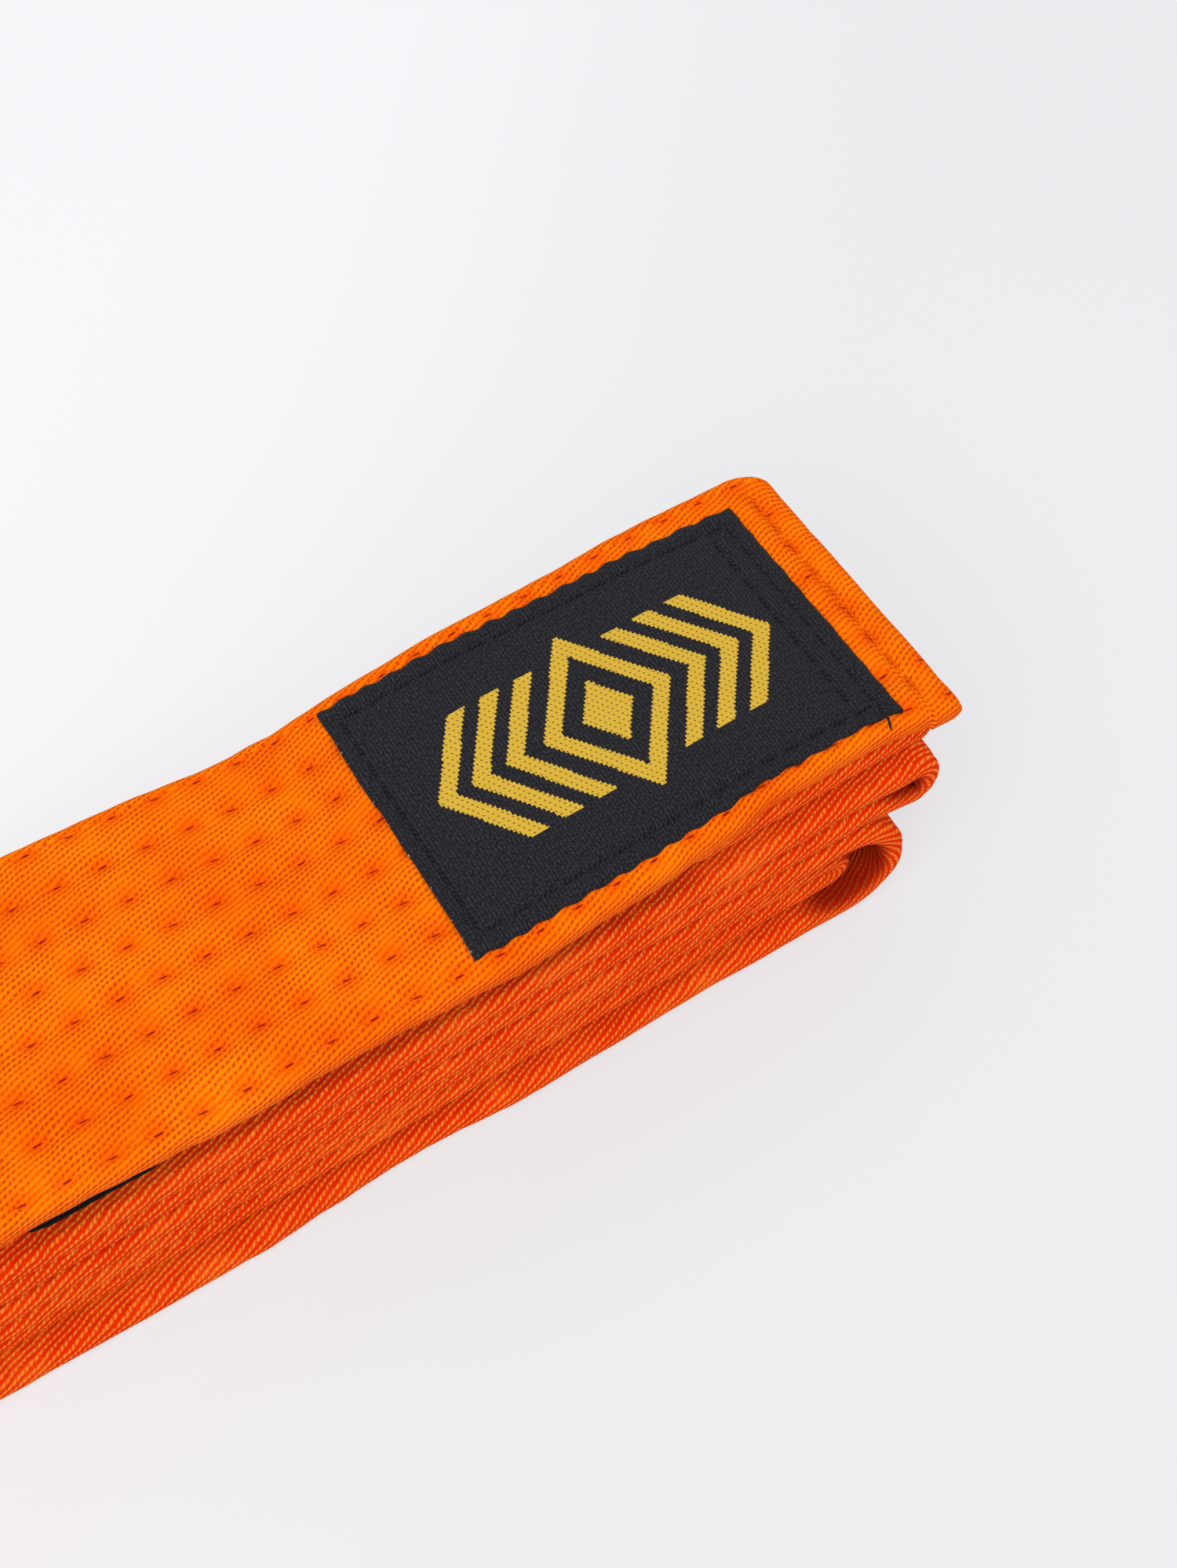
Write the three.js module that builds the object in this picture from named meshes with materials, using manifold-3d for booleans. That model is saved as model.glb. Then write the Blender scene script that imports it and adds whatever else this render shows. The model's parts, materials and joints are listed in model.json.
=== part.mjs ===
// A quilted cotton martial arts belt, folded in half three times into a hank of eight runs.
// Millimetres, +Z up. The hank lies on its lowest run, with the middle of its footprint at the origin.
//
// The runs are counted from the top: layer 1 is the free end with the woven label, layer 2 is the other
// free end with the black rank bar, and layer 8 lies on the floor. Followed from the label, the belt goes
// through layers 1, 8, 5, 4, 3, 6, 7 and 2. Its ends are on the right, so every odd fold is on the left.

import * as THREE from "three";
import { mergeVertices } from "three/addons/utils/BufferGeometryUtils.js";
import Module from "manifold-3d";

const wasm = await Module();
wasm.setup();

// ---------------------------------------------------------------- driving dimensions

const BELT_WIDTH = 40;
const BELT_THICKNESS = 3.7;
const COVER_WALL = 0.85; // twill cover with its turned-in edge
const PLY_THICKNESS = 0.7; // each of the two core plies
const FREE_GAP = 0.2; // air between pieces that touch on the real belt

const LAYERS = 8;
const LAYER_GAP = 0.3; // air between two runs
const BAR_ROOM = 0.5; // more air beside layers 2 and 7, for the sleeve of the rank bar
const LEFT_FOLD_X = -262; // middle of the nested folds on the left, from the label end
const BAR_END_X = -2.5; // free end of layer 2
const MIDDLE_FOLD_TIP_X = -2.5; // outer tip of the fold between layers 3 and 4
const OUTER_FOLD_TIP_X = -8; // outer tip of the fold between layers 5 and 8
const INNER_FOLD_TIP_X = -14; // outer tip of the fold between layers 6 and 7
const JOINT_GAP = 0.3; // between a run and the fold that it turns out of
const FOLD_STEP_MM = 1.1; // half the length of one flat facet of a fold, about
const LEAST_HALF_FOLD_STEPS = 4;

const ROWS = 8; // quilting rows along the belt
const ROW_PITCH = 5.2;
const GROOVE_WIDTH = 0.9;
const GROOVE_DEPTH = 0.5;
const THREAD_WIDTH = 0.4;
const THREAD_HEIGHT = 0.24;
const THREAD_SINK = 0.05; // top of the thread below the cloth
const ROW_END = 6; // the rows stop this far from a free end

const HEM = 4; // folded-in cloth that closes a free end
const END_SEAM = 3.4; // cross seam, from the free end
const END_SEAM_LENGTH = 34;

const LABEL_LENGTH = 57;
const LABEL_WIDTH = 34;
const LABEL_THICKNESS = 0.45;
const LABEL_LIFT = 0.15; // air under the label
const LABEL_FROM_END = 6.8;
const LABEL_SEAM = 2; // border stitching, in from the edge of the label
const LABEL_END_SEAM = 4.6; // second row across the outer end of the label
const LABEL_GROOVE_DEPTH = 0.27;
const LABEL_THREAD_HEIGHT = 0.17;
const LABEL_THREAD_WIDTH = 0.34;

const BAR_FROM_END = 34; // rank bar, from the free end of layer 2
const BAR_LENGTH = 80;
const BAR_WALL = 0.4;
const BAR_SEAM = 3; // stitching, in from each end of the sleeve
const BAR_SEAM_LENGTH = 36;

// ---------------------------------------------------------------- places worked out from them

const PITCH = BELT_THICKNESS + LAYER_GAP;
const HALF_THICKNESS = BELT_THICKNESS / 2;
const HALF_WIDTH = BELT_WIDTH / 2;
// The room for the rank bar is on both sides of layer 2, and as much beside layer 7, so that the folds
// on the left stay nested evenly round one centre.
const wideGapsUnder = (layer) => [1, 2, 6, 7].filter((upper) => upper >= layer).length;
const layerZ = (layer) =>
  HALF_THICKNESS + (LAYERS - layer) * PITCH + wideGapsUnder(layer) * BAR_ROOM;
const STACK_HEIGHT = layerZ(1) + HALF_THICKNESS;

const leftmostX = LEFT_FOLD_X - (layerZ(1) - layerZ(LAYERS)) / 2 - HALF_THICKNESS;
const CENTRE_SHIFT = -leftmostX / 2; // brings the middle of the hank to x = 0
const atX = (fromLabelEnd) => fromLabelEnd + CENTRE_SHIFT;
const foldCentreX = (tip, upper, lower) =>
  tip - (layerZ(upper) - layerZ(lower)) / 2 - HALF_THICKNESS;

// ---------------------------------------------------------------- the belt's path, seen from the side

// A station of the path: a point of the belt's middle surface, and the direction in which the face that
// carries the label looks there.
const station = (x, z, nx, nz) => ({ x: atX(x), z, nx, nz });

// A straight run on one layer. The label face looks up where the belt is followed towards the left.
function run(layer, fromX, toX) {
  const up = toX < fromX ? 1 : -1;
  const z = layerZ(layer);
  return [station(fromX, z, 0, up), station(toX, z, 0, up)];
}

// A half turn from one layer to another, bulging to the right (side 1) or to the left (side -1).
function fold(centreX, fromLayer, toLayer, side) {
  const fromZ = layerZ(fromLayer);
  const toZ = layerZ(toLayer);
  const radius = Math.abs(toZ - fromZ) / 2;
  const climb = Math.sign(toZ - fromZ);
  const outward = climb * side; // 1 where the label face is on the outside of the bend
  const halfSteps = Math.max(LEAST_HALF_FOLD_STEPS, Math.round((Math.PI * radius) / FOLD_STEP_MM / 4));
  const steps = 2 * halfSteps; // an even count, so that one station is the tip of the fold
  return Array.from({ length: steps + 1 }, (_, i) => {
    const angle = climb * (i / steps - 0.5) * Math.PI;
    const [c, s] = [Math.cos(angle) * side, Math.sin(angle)];
    return station(centreX + radius * c, (fromZ + toZ) / 2 + radius * s, outward * c, outward * s);
  });
}

// Stretches of the belt. The two free runs turn about the left folds; the rest stays where it lies.
const rightFoldX = {
  middle: foldCentreX(MIDDLE_FOLD_TIP_X, 3, 4),
  outer: foldCentreX(OUTER_FOLD_TIP_X, 5, 8),
  inner: foldCentreX(INNER_FOLD_TIP_X, 6, 7),
};
const runStart = LEFT_FOLD_X + JOINT_GAP;
const stretches = {
  label_run: { path: run(1, 0, runStart), freeEnd: 0, quilted: true },
  outer_fold: { path: fold(LEFT_FOLD_X, 1, 8, -1) },
  folded_runs: {
    path: [
      ...run(8, runStart, rightFoldX.outer),
      ...fold(rightFoldX.outer, 8, 5, 1).slice(1),
      ...fold(LEFT_FOLD_X, 5, 4, -1),
      ...fold(rightFoldX.middle, 4, 3, 1),
      ...fold(LEFT_FOLD_X, 3, 6, -1),
      ...fold(rightFoldX.inner, 6, 7, 1),
      ...run(7, rightFoldX.inner, runStart).slice(1),
    ],
    quilted: true,
  },
  second_fold: { path: fold(LEFT_FOLD_X, 7, 2, -1) },
  bar_run: { path: run(2, runStart, BAR_END_X), freeEnd: BAR_END_X, quilted: true },
};

// ---------------------------------------------------------------- solids

const toward = (p, offset) => new THREE.Vector2(p.x + p.nx * offset, p.z + p.nz * offset);

// The part of the belt between two depths, as a flat outline in the XZ plane, extruded across the belt.
// Depths are measured from the middle surface towards the label face.
function slab(path, [low, high], [yFrom, yTo]) {
  const there = path.map((p) => toward(p, high));
  const back = path.map((p) => toward(p, low)).reverse();
  const outline = [...there, ...back];
  if (THREE.ShapeUtils.area(outline) < 0) outline.reverse();
  const geometry = new THREE.ExtrudeGeometry(new THREE.Shape(outline), {
    depth: yTo - yFrom,
    bevelEnabled: false,
  });
  return geometry.rotateX(Math.PI / 2).translate(0, yTo, 0);
}

function block([x0, x1], [y0, y1], [z0, z1]) {
  const geometry = new THREE.BoxGeometry(x1 - x0, y1 - y0, z1 - z0);
  return geometry.translate((x0 + x1) / 2, (y0 + y1) / 2, (z0 + z1) / 2);
}

// A rectangle with a smaller rectangle cut out of it, extruded by depth along +Z.
function frameGeometry(width, height, innerWidth, innerHeight, depth) {
  const rectangle = (w, h) => [
    new THREE.Vector2(-w / 2, -h / 2),
    new THREE.Vector2(w / 2, -h / 2),
    new THREE.Vector2(w / 2, h / 2),
    new THREE.Vector2(-w / 2, h / 2),
  ];
  const shape = new THREE.Shape(rectangle(width, height));
  shape.holes.push(new THREE.Path(rectangle(innerWidth, innerHeight)));
  return new THREE.ExtrudeGeometry(shape, { depth, bevelEnabled: false });
}

function toSolid(geometry) {
  const bare = geometry.clone();
  bare.deleteAttribute("normal");
  bare.deleteAttribute("uv");
  const merged = mergeVertices(bare, 1e-4);
  return new wasm.Manifold(
    new wasm.Mesh({
      numProp: 3,
      vertProperties: merged.attributes.position.array,
      triVerts: new Uint32Array(merged.index.array),
    }),
  );
}

function cut(geometry, ...tools) {
  const solid = tools.reduce((rest, tool) => rest.subtract(toSolid(tool)), toSolid(geometry));
  const mesh = solid.getMesh();
  const result = new THREE.BufferGeometry();
  result.setAttribute("position", new THREE.BufferAttribute(mesh.vertProperties, 3));
  result.setIndex(new THREE.BufferAttribute(mesh.triVerts, 1));
  result.computeVertexNormals();
  return result;
}

// The same path, cut back from a free end or run on past an open one.
function trimmed({ path, freeEnd }, fromFreeEnd, pastOpenEnd) {
  const longer = path.map((p) => ({ ...p }));
  const extend = (end, inner) => {
    const alongX = Math.sign(longer[end].x - longer[inner].x);
    longer[end].x += alongX * pastOpenEnd;
  };
  const last = longer.length - 1;
  const isFree = (p) => freeEnd !== undefined && Math.abs(p.x - atX(freeEnd)) < 1e-6;
  for (const [end, inner] of [[0, 1], [last, last - 1]]) {
    if (isFree(longer[end])) longer[end].x = atX(freeEnd - fromFreeEnd);
    else extend(end, inner);
  }
  return longer;
}

const rowY = (row) => (row - (ROWS + 1) / 2) * ROW_PITCH;
const across = (middle, width) => [middle - width / 2, middle + width / 2];
const groove = [HALF_THICKNESS - GROOVE_DEPTH, HALF_THICKNESS + 0.1];
const threadTop = HALF_THICKNESS - THREAD_SINK;
const thread = [threadTop - THREAD_HEIGHT, threadTop];

// A fold's open ends look along X, so what is cut out of it runs on a little past them there.
const openEnd = 0.2;

function coverGeometry(stretch) {
  const wall = HALF_THICKNESS - COVER_WALL;
  const inside = slab(trimmed(stretch, HEM, openEnd), [-wall, wall], across(0, BELT_WIDTH - 2 * COVER_WALL));
  const grooves = stretch.quilted
    ? Array.from({ length: ROWS }, (_, i) =>
        slab(trimmed(stretch, ROW_END - 1, openEnd), groove, across(rowY(i + 1), GROOVE_WIDTH)),
      )
    : [];
  if (stretch.freeEnd !== undefined) grooves.push(endSeamGeometry(stretch, groove, GROOVE_WIDTH));
  return cut(slab(stretch.path, [-HALF_THICKNESS, HALF_THICKNESS], across(0, BELT_WIDTH)), inside, ...grooves);
}

// A bar across the belt at the end seam, between two depths.
function endSeamGeometry(stretch, depths, width) {
  const seamX = stretch.freeEnd - END_SEAM;
  const model = stretch.path[0];
  const ends = across(seamX, width).map((x) => station(x, model.z, model.nx, model.nz));
  const extra = depths === groove ? GROOVE_WIDTH - THREAD_WIDTH : 0;
  return slab(ends, depths, across(0, END_SEAM_LENGTH + extra));
}

// ---------------------------------------------------------------- materials and nodes

const material = (color, roughness) =>
  new THREE.MeshStandardMaterial({ color, roughness, metalness: 0 });
const twill = material(0xf0640c, 0.9);
const wadding = material(0xe9dfc9, 0.95);
const orangeThread = material(0xc9430a, 0.7);
const labelCloth = material(0x17181b, 0.6);
const blackThread = material(0x0d0d10, 0.6);
const barCloth = material(0x1b1b1e, 0.85);

const belt = new THREE.Group();

function add(name, geometry, colour) {
  const mesh = new THREE.Mesh(geometry, colour);
  mesh.name = name;
  belt.add(mesh);
}

for (const [name, stretch] of Object.entries(stretches)) {
  add(`cover_${name}`, coverGeometry(stretch), twill);
  const coreWidth = across(0, BELT_WIDTH - 2 * (COVER_WALL + FREE_GAP));
  const ply = [FREE_GAP / 2, FREE_GAP / 2 + PLY_THICKNESS];
  const core = trimmed(stretch, HEM + FREE_GAP, 0);
  add(`label_side_ply_${name}`, slab(core, ply, coreWidth), wadding);
  add(`back_side_ply_${name}`, slab(core, [-ply[1], -ply[0]], coreWidth), wadding);
  if (!stretch.quilted) continue;
  for (let row = 1; row <= ROWS; row++) {
    const geometry = slab(trimmed(stretch, ROW_END, 0), thread, across(rowY(row), THREAD_WIDTH));
    add(`quilting_row_${row}_${name}`, geometry, orangeThread);
  }
}
for (const [name, stretch] of Object.entries(stretches)) {
  if (stretch.freeEnd === undefined) continue;
  add(`end_seam_${name}`, endSeamGeometry(stretch, thread, THREAD_WIDTH), orangeThread);
}

// Woven label, with a row of stitches round its border and one more across its outer end.
const labelRight = atX(-LABEL_FROM_END);
const labelX = [labelRight - LABEL_LENGTH, labelRight];
const labelMiddleX = labelRight - LABEL_LENGTH / 2;
const labelZ = [STACK_HEIGHT + LABEL_LIFT, STACK_HEIGHT + LABEL_LIFT + LABEL_THICKNESS];
const borderFrame = (width, z0, z1) =>
  frameGeometry(
    LABEL_LENGTH - 2 * LABEL_SEAM + width,
    LABEL_WIDTH - 2 * LABEL_SEAM + width,
    LABEL_LENGTH - 2 * LABEL_SEAM - width,
    LABEL_WIDTH - 2 * LABEL_SEAM - width,
    z1 - z0,
  ).translate(labelMiddleX, 0, z0);
const endRow = (width, z0, z1) =>
  block(
    across(labelRight - LABEL_END_SEAM, width),
    across(0, LABEL_WIDTH - 2 * LABEL_SEAM - LABEL_THREAD_WIDTH - 2 + width),
    [z0, z1],
  );
const labelGroove = [LABEL_THREAD_WIDTH + 2 * FREE_GAP, labelZ[1] - LABEL_GROOVE_DEPTH, labelZ[1] + 0.1];
const labelThread = [LABEL_THREAD_WIDTH, labelZ[1] - LABEL_THREAD_HEIGHT, labelZ[1]];
add(
  "woven_label",
  cut(block(labelX, across(0, LABEL_WIDTH), labelZ), borderFrame(...labelGroove), endRow(...labelGroove)),
  labelCloth,
);
add("label_border_stitching", borderFrame(...labelThread), blackThread);
add("label_end_stitching", endRow(...labelThread), blackThread);

// Rank bar: a sleeve of black cloth round layer 2, held by a row of stitches near each of its ends.
const barRight = atX(BAR_END_X - BAR_FROM_END);
const barX = [barRight - BAR_LENGTH, barRight];
const barHole = [BELT_WIDTH + 2 * FREE_GAP, BELT_THICKNESS + 2 * FREE_GAP];
const sleeve = frameGeometry(
  barHole[1] + 2 * BAR_WALL,
  barHole[0] + 2 * BAR_WALL,
  barHole[1],
  barHole[0],
  BAR_LENGTH,
)
  .rotateY(Math.PI / 2)
  .translate(barX[0], 0, layerZ(2));
const barTopZ = layerZ(2) + barHole[1] / 2;
const barRow = (x, width, z0, z1) => block(across(x, width), across(0, BAR_SEAM_LENGTH + width), [z0, z1]);
const barRowX = { outer: barX[1] - BAR_SEAM, inner: barX[0] + BAR_SEAM };
const slotWidth = THREAD_WIDTH + 2 * FREE_GAP;
const slots = Object.values(barRowX).map((x) => barRow(x, slotWidth, barTopZ - 0.1, barTopZ + BAR_WALL + 0.1));
add("rank_bar_sleeve", cut(sleeve, ...slots), barCloth);
for (const [place, x] of Object.entries(barRowX)) {
  const threadZ = barTopZ + BAR_WALL - THREAD_HEIGHT;
  add(`rank_bar_stitching_${place}`, barRow(x, THREAD_WIDTH, threadZ, threadZ + THREAD_HEIGHT), blackThread);
}

export default belt;
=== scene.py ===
"""Looks of a quilted martial arts belt, folded into a hank of eight runs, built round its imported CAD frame.

The belt is followed by one measure, s: the distance along its middle surface from the label end, in
millimetres. Belt turns (s, y, h) into a point of space, where y runs across the belt from -20 to 20 and h is
the height over the middle surface towards the face that carries the label. Every soft piece is built on it.
"""

import json
import math

import bpy
import numpy as np
from mathutils import Matrix, Vector


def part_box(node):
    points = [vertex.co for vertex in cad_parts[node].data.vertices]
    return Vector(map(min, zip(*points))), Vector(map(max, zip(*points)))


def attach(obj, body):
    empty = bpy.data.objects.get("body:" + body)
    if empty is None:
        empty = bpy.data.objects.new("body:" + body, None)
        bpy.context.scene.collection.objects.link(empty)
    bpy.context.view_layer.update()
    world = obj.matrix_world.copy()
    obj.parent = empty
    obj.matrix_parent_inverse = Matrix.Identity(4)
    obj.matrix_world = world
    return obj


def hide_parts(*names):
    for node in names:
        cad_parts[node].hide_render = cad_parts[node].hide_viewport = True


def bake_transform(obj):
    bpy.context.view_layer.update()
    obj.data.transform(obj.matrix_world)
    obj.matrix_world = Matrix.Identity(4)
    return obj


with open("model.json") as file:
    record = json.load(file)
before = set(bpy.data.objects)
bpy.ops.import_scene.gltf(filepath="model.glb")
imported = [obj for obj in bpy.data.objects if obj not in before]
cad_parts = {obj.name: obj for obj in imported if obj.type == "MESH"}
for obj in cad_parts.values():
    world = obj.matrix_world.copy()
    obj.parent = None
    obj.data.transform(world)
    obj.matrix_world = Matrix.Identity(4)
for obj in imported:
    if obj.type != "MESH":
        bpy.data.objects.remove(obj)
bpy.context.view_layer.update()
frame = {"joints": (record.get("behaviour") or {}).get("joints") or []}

MM = 0.001

# ---------------------------------------------------------------- sizes in millimetres, as in the CAD frame

HALF_WIDTH = 20.0
HALF_THICKNESS = 1.85
PITCH = 4.0  # from one run to the next
BAR_ROOM = 0.5  # more air beside layers 2 and 7
ROWS = 8
ROW_PITCH = 5.2
ROW_END = 6.0  # the rows stop this far from a free end
END_SEAM = 3.4  # from a free end
END_SEAM_LENGTH = 34.0
HEM = 4.0  # how far the cover is closed at a free end
COVER_WALL = 0.85
CORE_GAP = 0.2
FLOOR_CLEARANCE = 0.03


def box_mm(node):
    low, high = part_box(node)
    return np.array(low) / MM, np.array(high) / MM


LABEL_END_X = box_mm("cover_label_run")[1][0]
BAR_END_X = box_mm("cover_bar_run")[1][0]
LEFT_X = frame["joints"][0]["pos_m"][0] / MM
LABEL_LOW, LABEL_HIGH = box_mm("woven_label")
BAR_LOW, BAR_HIGH = box_mm("rank_bar_sleeve")


def layer_z(layer):
    wide_gaps_under = sum(1 for upper in (1, 2, 6, 7) if upper >= layer)
    return HALF_THICKNESS + (8 - layer) * PITCH + wide_gaps_under * BAR_ROOM


# ---------------------------------------------------------------- camera

CAMERA_AZIMUTH = 29.85
CAMERA_ELEVATION = 57.68
CAMERA_ROLL = -2.07
CAMERA_PLACE = (0.0384, -0.10845, 0.2204)
CAMERA_LENS = 45.38  # for the 36 mm sensor side that lies along the picture's height


def make_camera():
    azimuth, elevation, roll = map(math.radians, (CAMERA_AZIMUTH, CAMERA_ELEVATION, CAMERA_ROLL))
    forward = Vector((math.sin(azimuth), math.cos(azimuth), 0)) * math.cos(elevation)
    forward.z = -math.sin(elevation)
    level = Vector((math.cos(azimuth), -math.sin(azimuth), 0))
    steep = level.cross(forward)
    right = level * math.cos(roll) + steep * math.sin(roll)
    up = right.cross(forward)
    data = bpy.data.cameras.new("camera")
    data.lens = CAMERA_LENS
    data.clip_start = 0.01
    camera = bpy.data.objects.new("camera", data)
    camera.matrix_world = Matrix((right, up, -forward)).transposed().to_4x4()
    camera.location = CAMERA_PLACE
    bpy.context.scene.collection.objects.link(camera)
    bpy.context.scene.camera = camera


make_camera()

# ---------------------------------------------------------------- smooth noise

NOISE_SIDE = 256


class Noise:
    """Smooth seeded noise over a plane, from -1 to 1, with lattice points one unit apart."""

    def __init__(self, seed):
        self.values = np.random.default_rng(seed).uniform(-1, 1, (NOISE_SIDE, NOISE_SIDE))

    def __call__(self, x, y=0.0):
        x, y = np.broadcast_arrays(np.asarray(x, float), np.asarray(y, float))
        column, row = np.floor(x).astype(int), np.floor(y).astype(int)
        fx, fy = x - column, y - row
        fx, fy = fx * fx * (3 - 2 * fx), fy * fy * (3 - 2 * fy)

        def at(dx, dy):
            return self.values[(column + dx) % NOISE_SIDE, (row + dy) % NOISE_SIDE]

        near = at(0, 0) * (1 - fx) + at(1, 0) * fx
        far = at(0, 1) * (1 - fx) + at(1, 1) * fx
        return near * (1 - fy) + far * fy


def smooth(value, start, end):
    """0 before start, 1 after end, and a smooth rise between."""
    t = np.clip((value - start) / (end - start), 0, 1)
    return t * t * (3 - 2 * t)


def bell(distance, width):
    return np.exp(-((distance / width) ** 2))


# ---------------------------------------------------------------- the belt's path

DENSE_STEP = 0.1

# The belt from its label end: straight runs as ("run", layer, from x, to x), where None is the centre of a
# fold on the right, and folds as (side, from layer, to layer).
PLAN = (
    ("run", 1, LABEL_END_X, LEFT_X),
    ("left", 1, 8),
    ("run", 8, LEFT_X, None),
    ("right", 8, 5),
    ("run", 5, None, LEFT_X),
    ("left", 5, 4),
    ("run", 4, LEFT_X, None),
    ("right", 4, 3),
    ("run", 3, None, LEFT_X),
    ("left", 3, 6),
    ("run", 6, LEFT_X, None),
    ("right", 6, 7),
    ("run", 7, None, LEFT_X),
    ("left", 7, 2),
    ("run", 2, LEFT_X, BAR_END_X),
)
RIGHT_FOLD_TIP = {(8, 5): -5.6, (4, 3): -1.0, (6, 7): -12.4}  # from the label end
# How far the near and the far edge of each layer lie to the far side (+) or the near side (-) of the straight
# belt: at the left folds, in the middle and on the right.
NEAR_SHIFT = {
    1: (0.0, 0.0, 0.4),
    8: (-0.8, -2.0, -1.6),
    5: (-0.2, -0.3, -0.4),
    4: (0.0, 0.2, 0.0),
    3: (0.2, 0.1, 0.0),
    6: (0.0, 0.1, 0.2),
    7: (0.3, 0.8, 0.5),
    2: (0.6, 1.8, 2.4),
}
FAR_SHIFT = {
    1: (0.0, 0.2, 0.0),
    8: (-0.3, -0.8, -0.6),
    5: (-0.2, -0.3, -0.4),
    4: (0.0, 0.2, 0.0),
    3: (0.1, 0.3, 0.0),
    6: (0.0, 0.1, 0.2),
    7: (0.2, 0.3, 0.3),
    2: (0.2, 0.8, 0.6),
}
# The top run is sewn and laid less straight than the others: further shifts of its edges, as (x, shift).
TOP_NEAR_EDGE = ((10, 0.5), (35, 0.0), (62, 0.0), (80, -0.9), (97, 0.0), (114, 1.3), (128, 1.6), (139, 0.2))
TOP_FAR_EDGE = (
    (0, 0.4), (38, 1.2), (52, 0.3), (63, -0.8), (71, -0.5), (80, 0.6),
    (95, 1.8), (106, 2.0), (117, 2.8), (130, 3.3), (139, 3.2),
)
EASING = 41  # points of the path over which those shifts are evened out
FLOOR_RUN_WAVES = ((42, 11, -0.5), (66, 7, 0.5))  # of the lowest run's near edge, as (x, width, shift)
# Over this stretch of x the rank bar is tucked in deeper, so that its near edge doesn't show.
BAR_HIDDEN = (42.0, 100.0)
BAR_TUCK = 2.0
BAR_START_TUCK = 0.4
BAR_SAG = 1.5  # how far the near edge of the top run sinks over that stretch
SAG_START = 14.5  # distance from the belt's middle at which that sinking starts
FOLD_DROOP = 1.5  # how far the underside of the middle fold hangs down
FOLD_SAG = 0.5  # how far the outer fold bellies out above the floor
LABEL_LIFT = 0.5  # how far the top run rises under the label


def fold_centre(layer):
    """The x about which the fold on the right of a layer turns."""
    for layers, tip in RIGHT_FOLD_TIP.items():
        if layer in layers:
            radius = abs(layer_z(layers[0]) - layer_z(layers[1])) / 2
            return LABEL_END_X + tip - radius - HALF_THICKNESS
    raise ValueError(f"layer {layer} has no fold on the right")


def straight(layer, start, end):
    start = fold_centre(layer) if start is None else start
    end = fold_centre(layer) if end is None else end
    count = max(2, int(abs(end - start) / DENSE_STEP))
    return np.column_stack([np.linspace(start, end, count), np.full(count, layer_z(layer))])


def half_turn(side, first, last):
    z0, z1 = layer_z(first), layer_z(last)
    radius = abs(z1 - z0) / 2
    count = max(24, int(math.pi * radius / DENSE_STEP))
    angle = np.sign(z1 - z0) * (np.linspace(0, 1, count) - 0.5) * math.pi
    centre, outwards = (LEFT_X, -1) if side == "left" else (fold_centre(first), 1)
    x = centre + outwards * radius * np.cos(angle)
    return np.column_stack([x, (z0 + z1) / 2 + radius * np.sin(angle)])


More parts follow.
